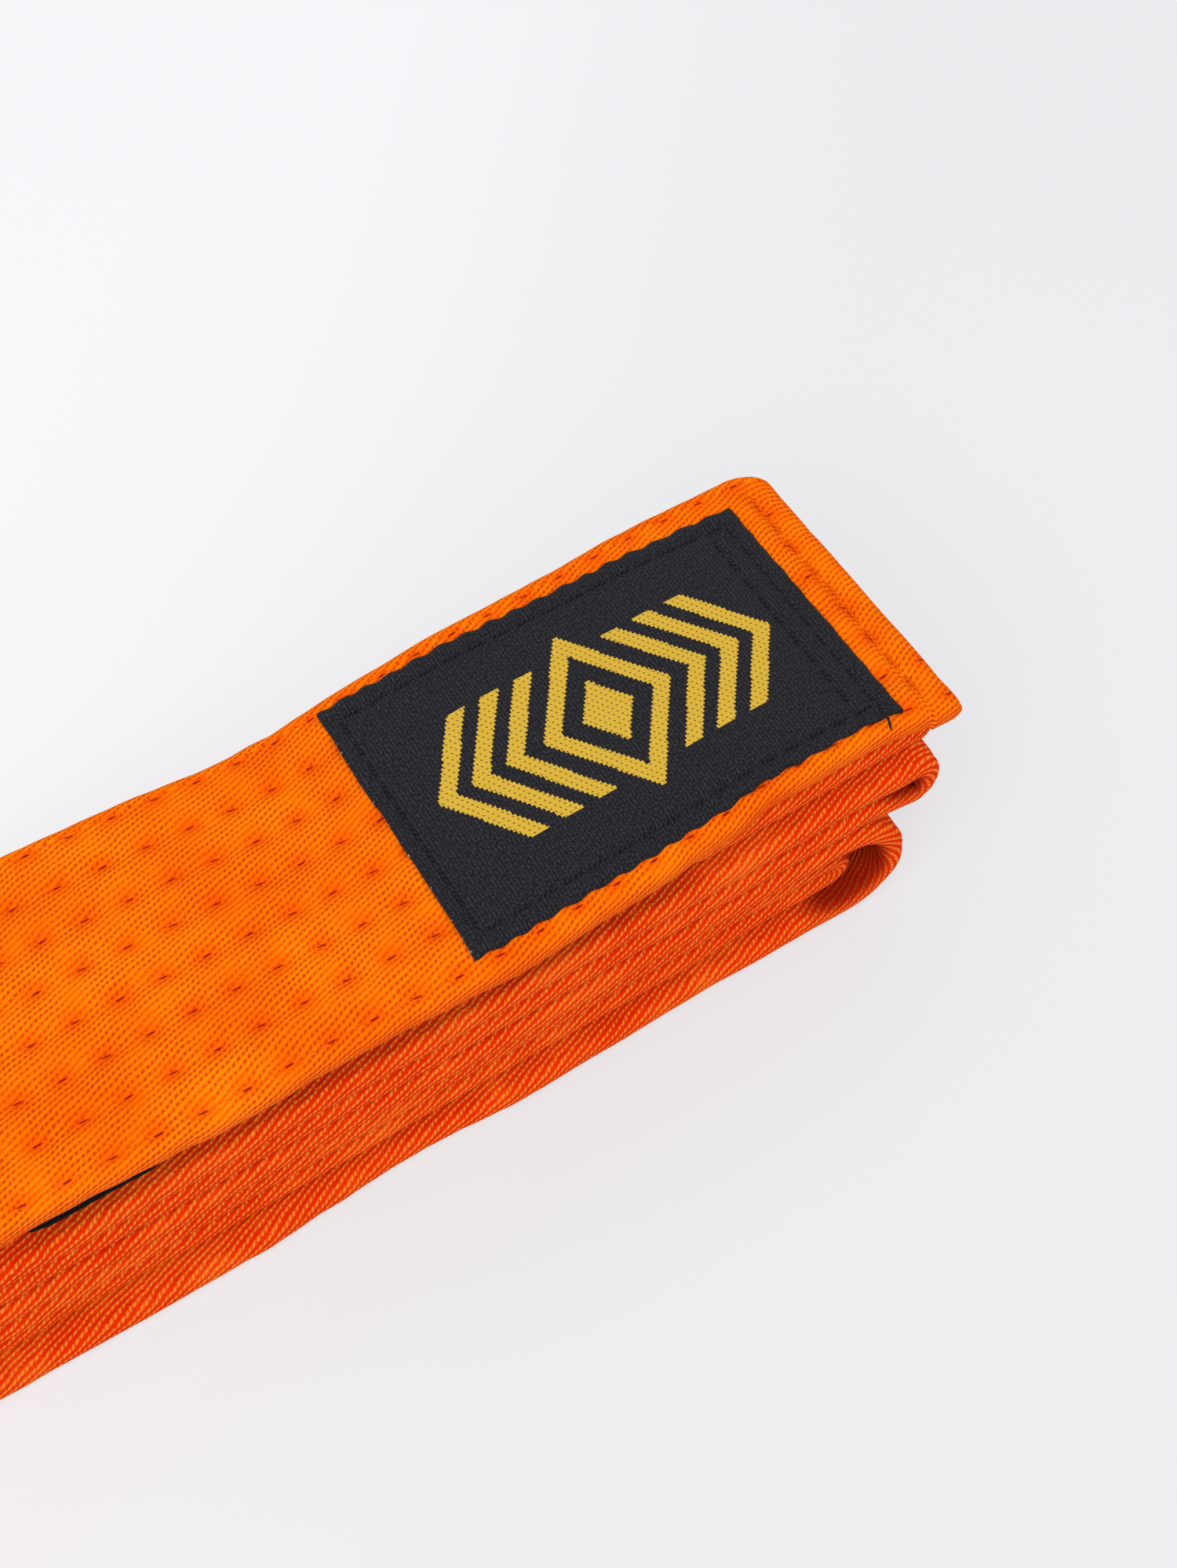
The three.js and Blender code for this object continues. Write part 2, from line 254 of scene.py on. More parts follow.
class Belt:
    """The middle surface of the whole belt as a table over s, with the functions that read it."""

    def __init__(self):
        points, first_point = [], {}
        for kind, *where in PLAN:
            if kind == "run":
                name, piece = f"run_{where[0]}", straight(*where)
            else:
                name, piece = f"fold_{where[0]}_{where[1]}", half_turn(kind, *where)
            first_point[name] = max(0, len(points) - 1)
            points.extend(piece if not points else piece[1:])
        points = np.array(points)
        steps = np.linalg.norm(np.diff(points, axis=0), axis=1)
        self.s = np.concatenate([[0], np.cumsum(steps)])
        self.length = self.s[-1]
        last_point = list(first_point.values())[1:] + [len(points) - 1]
        starts, ends = self.s[list(first_point.values())], self.s[last_point]
        self.knots = dict(zip(first_point, zip(starts, ends)))
        self.x, self.z = points[:, 0].copy(), points[:, 1].copy()
        self.on_top = self.s < self.knots["run_1"][1]
        self._set_sideways()
        self._shape_folds()
        self._set_normals()

    def span(self, name):
        """The distances s at which a run or a fold starts and ends."""
        return self.knots[name]

    def between(self, first, last):
        return (self.s > self.knots[first][0]) & (self.s < self.knots[last][1])

    def _edge(self, shifts, noise_row):
        """The shift of one edge over s, eased from knot to knot, with some waviness."""
        at, value = [0.0], [shifts[1][2]]
        for name, (start, end) in self.knots.items():
            if not name.startswith("run"):
                continue
            layer = int(name.split("_")[1])
            left, middle, right = shifts[layer]
            first, last = (right, left) if layer in (1, 5, 3, 7) else (left, right)
            at += [start + 4, (start + end) / 2, end - 4]
            value += [first, middle, last]
        at, value = np.array(at), np.array(value)
        index = np.clip(np.searchsorted(at, self.s) - 1, 0, len(at) - 2)
        t = smooth(self.s, at[index], at[index + 1])
        shift = value[index] * (1 - t) + value[index + 1] * t
        wander = Noise(11)
        return shift + 0.4 * wander(self.s / 27, noise_row) + 0.1 * wander(self.s / 7, noise_row + 4)

    def _set_sideways(self):
        """The y of the near and the far edge, and how far the near edge sinks."""
        self.near = -HALF_WIDTH + self._edge(NEAR_SHIFT, 0.5)
        self.far = HALF_WIDTH + self._edge(FAR_SHIFT, 9.5)
        for edge, table in ((self.near, TOP_NEAR_EDGE), (self.far, TOP_FAR_EDGE)):
            at, shift = zip(*table)
            eased = np.convolve(np.interp(self.x, at, shift), np.ones(EASING) / EASING, mode="same")
            eased = np.where(self.s > EASING * DENSE_STEP, eased, shift[-1])
            edge += np.where(self.on_top, eased, 0)
        low, high = BAR_HIDDEN
        sinking = smooth(self.x, low - 8, low + 4) * smooth(self.x, high + 14, high + 8)
        self.sag = np.where(self.on_top, BAR_SAG * sinking, 0)
        wave = sum(shift * bell(self.x - x, width) for x, width, shift in FLOOR_RUN_WAVES)
        self.near += np.where(self.between("run_8", "run_8"), wave, 0)
        tucked = BAR_TUCK * smooth(self.x, low - 6, low) * smooth(self.x, high + 6, high)
        tucked += BAR_START_TUCK * bell(self.x - BAR_LOW[0], 1.4)
        self.near += np.where(self.between("run_2", "run_2"), tucked, 0)

    def _shape_folds(self):
        """The folds on the right are not quite round, and the top run lies a little loosely."""
        lower = np.clip((layer_z(3) - self.z) / (layer_z(3) - layer_z(4)), 0, 1)
        droop = FOLD_DROOP * smooth(self.x, LABEL_END_X - 11, LABEL_END_X - 3)
        self.z -= np.where(self.between("run_4", "run_3"), droop * (0.15 + 0.85 * lower), 0)
        self.x += np.where(self.between("fold_8_5", "fold_8_5"), FOLD_SAG * bell(self.z - 5.0, 2.4), 0)
        self.z += np.where(self.on_top, LABEL_LIFT * bell(self.x - LABEL_END_X + 45, 30), 0)

    def _set_normals(self):
        tx, tz = np.gradient(self.x, self.s), np.gradient(self.z, self.s)
        size = np.hypot(tx, tz)
        self.nx, self.nz = tz / size, -tx / size
        turn = np.gradient(np.unwrap(np.arctan2(self.nz, self.nx)), self.s)
        width = 21
        # how sharply the path bends: above 0 where the label face is inside the bend
        self.bend = np.convolve(turn, np.ones(width) / width, mode="same")

    def read(self, table, s):
        return np.interp(s, self.s, table)

    def point(self, s, y, h):
        """Points of space in millimetres for arrays s, y and h of one shape."""
        s, y, h = np.broadcast_arrays(*(np.asarray(a, float) for a in (s, y, h)))
        nx, nz = self.read(self.nx, s), self.read(self.nz, s)
        near, far = self.read(self.near, s), self.read(self.far, s)
        x = self.read(self.x, s) + nx * h
        z = self.read(self.z, s) + nz * h
        across = near + (y + HALF_WIDTH) / (2 * HALF_WIDTH) * (far - near)
        z = z - self.read(self.sag, s) * smooth(-y, SAG_START, HALF_WIDTH)
        return np.stack([x, across, np.maximum(z, FLOOR_CLEARANCE)], axis=-1)


belt = Belt()
LABEL_S = (LABEL_END_X - LABEL_HIGH[0], LABEL_END_X - LABEL_LOW[0])
LABEL_HALF = (LABEL_HIGH[1] - LABEL_LOW[1]) / 2
BAR_S = (belt.length - (BAR_END_X - BAR_LOW[0]), belt.length - (BAR_END_X - BAR_HIGH[0]))

# ---------------------------------------------------------------- the cloth's surface

STITCH_PITCH = 5.0
STITCH_DRIFT = 0.35  # in stitches, how unevenly they follow each other
VALLEY_DEPTH = 0.40
VALLEY_WIDTH = 1.15
WIDE_VALLEY = (0.12, 2.2)  # depth and width of a flatter valley round the first
HOLE_DEPTH = 0.42
HOLE_SIZE = (0.34, 0.75)  # across and along the row
PUCKER = 0.17
SLACK = 0.03  # how far the faces lie within the full thickness
LOWEST_FACE, HIGHEST_FACE = 1.1, 1.99  # limits that keep the faces clear of the core and of each other
HIGHEST_OPEN_FACE = 2.3  # on the top run's label face, which nothing lies on
RIGHT_FOLDS = ("fold_8_5", "fold_4_3", "fold_6_7")
CRUMPLE = 0.3
SEAM_PITCH = 3.6
SEAM_DEPTH = 0.5
LABEL_BED = 0.28  # how far the label presses the cover down
# At the label's outer end, and how much more at its inner end:
LABEL_Y = (-1.3, 1.6)  # the y of its middle
LABEL_WIDENING = (-0.1, 0.9)  # what is added to half its width
pucker_noise = Noise(23)
drift_noise = Noise(31)
row_phase = np.random.default_rng(5).uniform(0, 1, 2 * ROWS)


def row_y(row):
    return (row - (ROWS - 1) / 2) * ROW_PITCH


def nearest_row(y):
    return np.clip(np.round(y / ROW_PITCH + (ROWS - 1) / 2), 0, ROWS - 1).astype(int)


def stitch_count(s, row, face):
    """Number of stitches along a row up to s; whole where the needle went in."""
    drift = STITCH_DRIFT * drift_noise(s / 40, row * 3.0 + 0.5)
    return s / STITCH_PITCH + drift + row_phase[row + (0 if face > 0 else ROWS)]


def quilting(s, y, row, face):
    """Depth of the face under its full height: valleys along the rows, with a hole at each stitch."""
    to_row = y - row_y(row)
    count = stitch_count(s, row, face)
    to_hole = (count - np.round(count)) * STITCH_PITCH
    depth, width = WIDE_VALLEY
    valley = VALLEY_DEPTH * bell(to_row, VALLEY_WIDTH) + depth * bell(to_row, width) - depth
    hole = HOLE_DEPTH * bell(to_row, HOLE_SIZE[0]) * bell(to_hole, HOLE_SIZE[1])
    gather = 0.10 * np.cos(2 * math.pi * count) * np.exp(-np.abs(to_row) / 1.4)
    return valley + hole + gather


def puckers(s, y, row, seed):
    """Unevenness of the cloth between the rows, and crumples round the folds on the right."""
    to_row = y - row_y(row)
    height = PUCKER * (1 - bell(to_row, 1.0)) * pucker_noise(s / 2.3 + to_row * 0.25, y / 2.9 + seed)
    height += 0.06 * pucker_noise(s / 5.5 + 9, y / 5.2 + seed + 20)
    for fold in RIGHT_FOLDS:
        to_fold = s - sum(belt.span(fold)) / 2
        height += CRUMPLE * bell(to_fold, 9.0) * pucker_noise(s / 2.7 + 50, y / 3.4 + seed)
    return height


def free_end_shape(from_end, y, seed):
    """What the end seam and the turned-in hem beside it add to the height."""
    in_seam = smooth(END_SEAM_LENGTH / 2 - np.abs(y), -0.5, 1)
    count = y / SEAM_PITCH
    to_hole = (count - np.round(count)) * SEAM_PITCH
    hole = 0.4 * bell(to_hole, 0.55) * bell(from_end - END_SEAM, 0.4)
    hem = smooth(from_end, 3.2, 1.6) * (0.1 + 0.3 * pucker_noise(y / 3.1 + 3, seed + 60.5))
    ridge = 0.22 * bell(from_end - 5.2, 1.0) * (0.8 + 0.4 * pucker_noise(y / 2.2, seed + 70.5))
    return hem + ridge - in_seam * (SEAM_DEPTH * bell(from_end - END_SEAM, 0.8) + hole)


def inner_limit(s, face, margin):
    """Highest that something on a face can lie without crossing itself inside a bend."""
    bend = belt.read(belt.bend, s)
    inside = np.where(face * bend > 0, np.abs(bend), 0)
    return 1 / np.maximum(inside, 1e-6) - margin


def into_label(s):
    """How far a distance s lies within the stretch that the label covers."""
    return np.minimum(s - LABEL_S[0], LABEL_S[1] - s)


def surface(s, y, face):
    """Height of the quilted face over the middle surface (face 1: label side, -1: back)."""
    seed = 0.0 if face > 0 else 40.0
    row = nearest_row(y)
    from_end = np.minimum(s, belt.length - s)
    sewn = smooth(from_end, ROW_END - 1.5, ROW_END)
    beside_label = smooth(into_label(s), -2, 2) * (s < LABEL_S[1] + 3)
    flatter = np.where((row == 0) | (row == ROWS - 1), 0.5 - 0.3 * beside_label, 1.0)
    height = HALF_THICKNESS - SLACK
    height = height + flatter * (puckers(s, y, row, seed) - sewn * quilting(s, y, row, face))
    height += free_end_shape(from_end, y, seed)
    if face < 0:
        height += 0.05 * smooth(from_end, 5.0, 2.0) * smooth(-y, 8, 19) * (s < belt.length / 2)
    if face > 0:
        height = press_under_label(height, s, y)
    open_face = (face > 0) & (s < belt.span("run_1")[1])
    height = np.clip(height, LOWEST_FACE, np.where(open_face, HIGHEST_OPEN_FACE, HIGHEST_FACE))
    return np.minimum(height, inner_limit(s, face, 0.12))


def label_middle(s):
    """The middle and half the width, in the measure y, of the label, which is sewn on a little askew."""
    to_left = np.clip((s - LABEL_S[0]) / (LABEL_S[1] - LABEL_S[0]), 0, 1)
    return LABEL_Y[0] + LABEL_Y[1] * to_left, LABEL_HALF + LABEL_WIDENING[0] + LABEL_WIDENING[1] * to_left


def press_under_label(height, s, y):
    """The height of the label face, pressed flat where the label lies on it."""
    centre, half = label_middle(s)
    inside = smooth(np.minimum(into_label(s), half - np.abs(y - centre)), -0.8, 0.6)
    flat = HALF_THICKNESS - LABEL_BED + 0.05 * pucker_noise(s / 8, y / 6 + 80)
    return height * (1 - inside) + np.minimum(height, flat) * inside


# ---------------------------------------------------------------- meshes


def new_object(name, points, faces, uv=None, extra_uv=None):
    """A smooth mesh object from points in millimetres and four-sided faces, with UV maps per face corner."""
    points, faces = np.asarray(points, float).reshape(-1, 3), np.asarray(faces, int)
    mesh = bpy.data.meshes.new(name)
    mesh.vertices.add(len(points))
    mesh.vertices.foreach_set("co", (points * MM).astype(np.float32).ravel())
    mesh.loops.add(faces.size)
    mesh.loops.foreach_set("vertex_index", faces.astype(np.int32).ravel())
    mesh.polygons.add(len(faces))
    mesh.polygons.foreach_set("loop_start", np.arange(0, faces.size, 4, dtype=np.int32))
    mesh.polygons.foreach_set("use_smooth", np.ones(len(faces), bool))
    for layer, values in (("cloth", uv), ("stitch", extra_uv)):
        if values is not None:
            mesh.uv_layers.new(name=layer)
            mesh.uv_layers[layer].data.foreach_set("uv", values.astype(np.float32).ravel())
    mesh.update(calc_edges=True)
    mesh.validate()
    obj = bpy.data.objects.new(name, mesh)
    bpy.context.scene.collection.objects.link(obj)
    return obj


def grid_faces(rows, columns, closed):
    """Faces of a grid of points, whose columns may close into a ring."""
    wide = columns if closed else columns - 1
    i, j = np.meshgrid(np.arange(rows - 1), np.arange(wide), indexing="ij")
    k = (j + 1) % columns
    return np.stack([i * columns + j, i * columns + k, (i + 1) * columns + k, (i + 1) * columns + j], -1)


def grid_corners(faces_shape, s, v_edges):
    """Per-corner values (s, v) for the faces of grid_faces. A row of v_edges has a value more than there are
    columns, because a ring's last edge lies on its first."""
    rows, wide = faces_shape
    v = np.broadcast_to(v_edges, (rows + 1, wide + 1))
    corners = np.empty((rows, wide, 4, 2))
    corners[:, :, 0, 0] = corners[:, :, 1, 0] = s[:-1, None]
    corners[:, :, 2, 0] = corners[:, :, 3, 0] = s[1:, None]
    corners[:, :, 0, 1], corners[:, :, 1, 1] = v[:-1, :-1], v[:-1, 1:]
    corners[:, :, 3, 1], corners[:, :, 2, 1] = v[1:, :-1], v[1:, 1:]
    return corners


def facing_out(points, faces):
    """The faces, turned over if they enclose a negative volume."""
    a, b, c, d = (points[faces[:, i]] for i in range(4))
    volume = np.einsum("ij,ij->", a, np.cross(b, c)) + np.einsum("ij,ij->", a, np.cross(c, d))
    return faces if volume > 0 else faces[:, ::-1]


def end_cap(ring, columns, start):
    """Faces that close a ring of an even number of points by strips between its two halves, which meet at
    start."""
    order = ring + (start + np.arange(columns)) % columns
    i = np.arange(columns // 2 - 1)
    return np.column_stack([order[i], order[i + 1], order[columns - 2 - i], order[columns - 1 - i]])


def end_caps(rows, columns, start=0):
    """The two caps that close a grid of rings, in one array."""
    first = end_cap(0, columns, start)
    last = end_cap((rows - 1) * columns, columns, start)
    return np.concatenate([first[:, ::-1], last])


def reversed_corners(values):
    """Per-corner values for four-sided faces that were turned over."""
    return values.reshape(-1, 4, 2)[:, ::-1].reshape(-1, 2)


# ---------------------------------------------------------------- cover of twill

EDGE_POINTS = 11
EDGE_RADIUS = 1.35
EDGE_SQUARENESS = 0.88  # 1 is a round edge, less is squarer
FINEST_STEP = 0.35
NO_STITCH = 9.0  # count and distance on faces that have no rows


def section(fine):
    """The cover's cross-section as (y, lift, rim): lift is 1 on the label face and -1 on the back face, and
    rim is the outward part round the edges. It starts and ends on the far edge."""
    offsets = (0.0, 0.28, 0.6, 1.05, 1.7, 2.6) if fine else (0.0, 0.8, 2.6)
    inner = HALF_WIDTH - EDGE_RADIUS
    ys = {0.0}
    for row in range(ROWS):
        for offset in offsets:
            for side in (-1, 1):
                y = row_y(row) + side * offset
                if abs(y) < inner - 0.05:
                    ys.add(round(y, 4))
    across = np.array(sorted(ys, reverse=True))
    angle = np.linspace(math.pi / 2, -math.pi / 2, EDGE_POINTS + 2)
    near_y = np.full(len(angle), -inner)
    rim_out = np.clip(np.cos(angle), 0, 1) ** EDGE_SQUARENESS
    rim_lift = np.sign(np.sin(angle)) * np.abs(np.sin(angle)) ** EDGE_SQUARENESS
    top = (across, np.ones(len(across)), np.zeros(len(across)))
    near = (near_y, rim_lift, -rim_out)
    back = (across[::-1], -np.ones(len(across)), np.zeros(len(across)))
    far = (-near_y, -rim_lift, rim_out)
    y, lift, rim = (np.concatenate(parts) for parts in zip(top, near, back, far))
    return y, lift, rim


def stations(spans):
    """Values of s with a chosen step in each span, as [(start, end, step), ...] end to end."""
    out = [np.array([spans[0][0]])]
    for start, end, step in spans:
        count = max(1, int(round((end - start) / step)))
        out.append(np.linspace(start, end, count + 1)[1:])
    return np.concatenate(out)


# The twill's material reads how far each place is from the rows. The edges and the insides of the folds on
# the right count as further away than they are; in the folds this gives a painted shade.
RIM_AWAY = 8.0
FOLD_SHADE_AWAY = 14.0
LOOSE_EDGE = 0.5  # the share of RIM_AWAY on runs that nothing presses on
RIM_STRETCH = 0.68  # share of the weave that is left over the edges of pressed runs


def in_right_fold(s):
    """1 in the folds on the right and 0 well away from them."""
    inside = np.zeros(len(s))
    for fold in RIGHT_FOLDS:
        low, high = belt.span(fold)
        inside = np.maximum(inside, smooth(np.minimum(s - low, high - s), -9, -2))
    return inside


def pressed_share(s):
    """0 on the top run, which nothing presses on, and 1 on the runs under it."""
    return smooth(s, *belt.span("fold_1_8"))


def outer_skin(s, fine):
    """Points, faces and UVs of the outside of the cover over the stations s, and the number of points in a
    ring. On pressed runs the edges look more stretched, and that look reaches a little further in as painted
    shade."""
    y, lift, rim = section(fine)
    columns = len(y)
    grid_s = np.repeat(s[:, None], columns, 1)
    grid_y = np.repeat(y[None, :], len(s), 0)
    label_face, back_face = surface(grid_s, grid_y, 1), surface(grid_s, grid_y, -1)
    middle, half = (label_face - back_face) / 2, (label_face + back_face) / 2
    thickness, far_cut, near_cut = (part[:, None] for part in free_rounding(s))
    h = (middle + lift[None, :] * half) * thickness
    rim_width = EDGE_RADIUS * (1 + 0.08 * pucker_noise(grid_s / 3.3, rim[None, :] + 90))
    across = grid_y + rim[None, :] * rim_width
    across = across - np.where(across > 0, far_cut, near_cut) * across / HALF_WIDTH
    points = belt.point(grid_s, across, h).reshape(-1, 3)
    faces = grid_faces(len(s), columns, True)
    pressed = pressed_share(s)[:, None]
    girth_y, girth_h = y + rim * EDGE_RADIUS, lift * HALF_THICKNESS
    step = np.hypot(np.diff(girth_y, append=girth_y[0]), np.diff(girth_h, append=girth_h[0]))
    step = step[None, :] * np.where(rim[None, :] != 0, 1 - (1 - RIM_STRETCH) * pressed, 1.0)
    v = np.concatenate([np.zeros((len(s), 1)), np.cumsum(step, axis=1)], axis=1)
    uv = grid_corners(faces.shape[:2], s * MM, v * MM)
    return points, faces.reshape(-1, 4), uv.reshape(-1, 2), stitch_corners(s, y, lift, rim, pressed), columns


def stitch_corners(s, y, lift, rim, pressed):
    """Per-corner values (stitch count, distance from the row) of the outside of the cover."""
    row = nearest_row(y)
    stretched = LOOSE_EDGE + (1 - LOOSE_EDGE) * pressed
    away = np.abs(y - row_y(row))[None, :] + RIM_AWAY * np.abs(rim)[None, :] * stretched
    # On pressed runs the edge colours reach onto the faces near the edges: painted shade between the stacked
    # runs.
    beside_edge = smooth(np.abs(y), HALF_WIDTH - 5.0, HALF_WIDTH - 3.0)
    away = np.maximum(away, RIM_AWAY * beside_edge[None, :] * pressed)
    # painted shade on the back face round the folds on the right, which counts as far away
    away = away + FOLD_SHADE_AWAY * in_right_fold(s)[:, None] * np.clip(-lift, 0, 1)[None, :]
    face = np.where(lift >= 0, 1, -1)
    counts = np.column_stack([stitch_count(s, row[j], face[j]) for j in range(len(y))])
    following = (np.arange(len(y)) + 1) % len(y)
    corners = np.empty((len(s) - 1, len(y), 4, 2))
    for part, values in enumerate((counts, away)):
        corners[:, :, 0, part], corners[:, :, 1, part] = values[:-1], values[:-1][:, following]
        corners[:, :, 3, part], corners[:, :, 2, part] = values[1:], values[1:][:, following]
    return corners.reshape(-1, 2)


END_ROUNDING = 1.7  # how far a free end's thickness is rounded off
END_THICKNESS = 0.4  # the share of the thickness left at its very end
FAR_CORNER = (2.2, 3.8, 1.6)  # how much is cut off across and along the belt, and the power of the curve
NEAR_CORNER = (0.2, 1.2, 2)


def free_rounding(s):
    """Close to a free end: the share of the thickness left, and what is cut off its far and near corners."""
    from_end = np.minimum(s, belt.length - s)
    t = np.clip(from_end / END_ROUNDING, 0, 1)
    thickness = END_THICKNESS + (1 - END_THICKNESS) * np.sqrt(np.clip(1 - (1 - t) ** 2, 0, 1))
    cuts = [
        across * (1 - np.clip(from_end / along, 0, 1)) ** power
        for across, along, power in (FAR_CORNER, NEAR_CORNER)
    ]
    return thickness, *cuts


def cavity(start, end):
    """The inside of the cover, a closed flat tube round the core, facing inwards."""
    half_y, half_h, count = HALF_WIDTH - COVER_WALL, HALF_THICKNESS - COVER_WALL, 9
    ys = np.linspace(half_y, -half_y, count)
    y = np.concatenate([ys, ys[::-1]])
    h = np.repeat([half_h, -half_h], count)
    s = path_stations(start, end, 1.0)
    points = belt.point(s[:, None], y[None, :], h[None, :]).reshape(-1, 3)
    body = grid_faces(len(s), len(y), True).reshape(-1, 4)
    faces = facing_out(points, np.concatenate([body, end_caps(len(s), len(y))]))
    return points, faces[:, ::-1], np.repeat(s, len(y))


def spans_between(start, end, run_step, fold_share, fold_step):
    """Spans as stations() takes them: a step for the runs, and in the folds a share of their radius."""
    spans = []
    for name, (low, high) in belt.knots.items():
        low, high = max(low, start), min(high, end)
        if high - low < 1e-6:
            continue
        step = run_step
        if name.startswith("fold"):
            upper, lower = (int(n) for n in name.split("_")[1:])
            radius = abs(layer_z(upper) - layer_z(lower)) / 2
            step = max(FINEST_STEP, min(fold_step, radius * fold_share))
        spans.append((low, high, step))
    return spans


def path_stations(start, end, fine):
    """Stations for the inner layers. Fine below 1 packs them more."""
    spans = spans_between(start, end, 3.0, 0.12, 1.2)
    return stations([(low, high, step * fine) for low, high, step in spans])


def build_cover(name, spans, cavity_span, fine):
    """One stretch of the cover as a closed mesh, and the distance s of each of its vertices."""
    s = stations(spans)
    points, skin, uv, stitch, columns = outer_skin(s, fine)
    caps = end_caps(len(s), columns, columns - EDGE_POINTS // 2 - 2)
    faces = np.concatenate([skin, caps])
    turned = facing_out(points, faces)
    corner_uv = np.concatenate([uv, np.zeros((4 * len(caps), 2))])
    corner_stitch = np.concatenate([stitch, np.full((4 * len(caps), 2), NO_STITCH)])
    if turned[0, 0] != faces[0, 0]:
        corner_uv, corner_stitch = reversed_corners(corner_uv), reversed_corners(corner_stitch)
    inner_points, inner_faces, inner_s = cavity(*cavity_span)
    obj = new_object(
        name,
        np.concatenate([points, inner_points]),
        np.concatenate([turned, inner_faces + len(points)]),
        np.concatenate([corner_uv, np.zeros((4 * len(inner_faces), 2))]),
        np.concatenate([corner_stitch, np.full((4 * len(inner_faces), 2), NO_STITCH)]),
    )
    rounded = np.arange(len(faces) + len(inner_faces)) < len(skin)
    obj.data.polygons.foreach_set("use_smooth", rounded)
    return obj, np.concatenate([np.repeat(s, columns), inner_s])


def bend_with(obj):
    """Bakes obj's transform into its mesh, and attaches it to no body."""
    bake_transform(obj)


# ---------------------------------------------------------------- node helpers


class Nodes:
    """Short calls that add nodes to a material and link them."""

    def __init__(self, name):
        self.material = bpy.data.materials.new(name)
        self.material.use_nodes = True
        self.tree = self.material.node_tree
        self.shader = self.tree.nodes["Principled BSDF"]

    def node(self, kind, **settings):
        made = self.tree.nodes.new(kind)
        for key, value in settings.items():
            setattr(made, key, value)
        return made

    def put(self, socket, value):
        if isinstance(value, bpy.types.NodeSocket):
            self.tree.links.new(value, socket)
        elif value is not None:
            socket.default_value = value

    def math(self, operation, *values):
        made = self.node("ShaderNodeMath", operation=operation)
        for socket, value in zip(made.inputs, values):
            self.put(socket, value)
        return made.outputs[0]

    def ramp(self, value, low, high, to_low=0.0, to_high=1.0):
        """A smooth rise from to_low at low to to_high at high; low may be the larger of the two."""
        made = self.node("ShaderNodeMapRange", interpolation_type="SMOOTHSTEP")
        keys = ("Value", "From Min", "From Max", "To Min", "To Max")
        for key, part in zip(keys, (value, low, high, to_low, to_high)):
            self.put(made.inputs[key], part)
        return made.outputs[0]

    def mix(self, factor, first, second):
        made = self.node("ShaderNodeMix", data_type="RGBA")
        self.put(made.inputs["Factor"], factor)
        self.put(made.inputs[6], first)
        self.put(made.inputs[7], second)
        return made.outputs[2]

    def uv(self, name):
        split = self.node("ShaderNodeSeparateXYZ")
        self.put(split.inputs[0], self.node("ShaderNodeUVMap", uv_map=name).outputs[0])
        return split.outputs[0], split.outputs[1]

    def noise(self, vector, scale, detail=2.0, roughness=0.5):
        made = self.node("ShaderNodeTexNoise")
        self.put(made.inputs["Vector"], vector)
        self.put(made.inputs["Scale"], scale)
        self.put(made.inputs["Detail"], detail)
        self.put(made.inputs["Roughness"], roughness)
        return made.outputs["Fac"]

    def position(self):
        return self.node("ShaderNodeTexCoord").outputs["Object"]

    def vector(self, x, y, z=0.0):
        made = self.node("ShaderNodeCombineXYZ")
        for socket, value in zip(made.inputs, (x, y, z)):
            self.put(socket, value)
        return made.outputs[0]

    def wave(self, value, period):
        """A sine wave from 0 to 1."""
        turns = self.math("MULTIPLY", self.math("DIVIDE", value, period), 2 * math.pi)
        return self.math("MULTIPLY_ADD", self.math("SINE", turns), 0.5, 0.5)

    def bump(self, height, distance, strength=1.0):
        made = self.node("ShaderNodeBump")
        self.put(made.inputs["Strength"], strength)
        self.put(made.inputs["Distance"], distance)
        self.put(made.inputs["Height"], height)
        return made.outputs[0]

    def finish(self, colour, roughness, normal=None, **fixed):
        self.put(self.shader.inputs["Base Color"], colour)
        self.put(self.shader.inputs["Roughness"], roughness)
        self.put(self.shader.inputs["Normal"], normal)
        for key, value in fixed.items():
            self.shader.inputs[key.replace("_", " ")].default_value = value
        return self.material


def srgb(red, green, blue):
    """A linear colour from the 0 to 255 values of a screen."""
    linear = [((c / 255 + 0.055) / 1.055) ** 2.4 if c > 10 else c / 255 / 12.92 for c in (red, green, blue)]
    return (*linear, 1.0)


# ---------------------------------------------------------------- materials


# The twill's two sets of waves, in cycles per metre along and across the cloth: its slanted ribs, and the
# places where a crossing yarn breaks them.
RIB_WAVES = (-490.0, 1440.0)
BREAK_WAVES = (-1700.0, 460.0)
YARN_WANDER = 0.0007  # metres


def waves(n, along, across, per_metre):
    """Even waves over the cloth, from 0 to 1."""
    cycles = n.math("MULTIPLY_ADD", along, per_metre[0], n.math("MULTIPLY", across, per_metre[1]))
    return n.math("MULTIPLY_ADD", n.math("COSINE", n.math("MULTIPLY", cycles, 2 * math.pi)), 0.5, 0.5)


def weave_heights(n, along, across, contrast):
    """Heights of the twill: lying flat, with a short gap between ribs at each break, and stretched round an
    edge, where short ribs stand out."""
    rib = waves(n, along, across, RIB_WAVES)
    link = waves(n, along, across, BREAK_WAVES)
    groove = n.math("POWER", n.math("SUBTRACT", 1.0, rib), 3.5)
    gap = n.math("MULTIPLY", n.math("MULTIPLY", groove, n.ramp(link, 0.25, 0.95)), contrast)
    flat = n.math("MULTIPLY_ADD", gap, -0.75, n.math("MULTIPLY_ADD", rib, 0.42, 0.36))
    broken = n.math("MULTIPLY", n.ramp(rib, 0.1, 1.0), n.math("MULTIPLY_ADD", link, -0.75, 1.0))
    strength = n.math("MULTIPLY_ADD", contrast, 0.35, 0.75)
    ribbed = n.math("MULTIPLY_ADD", n.math("SUBTRACT", broken, 0.35), strength, 0.38)
    return flat, ribbed


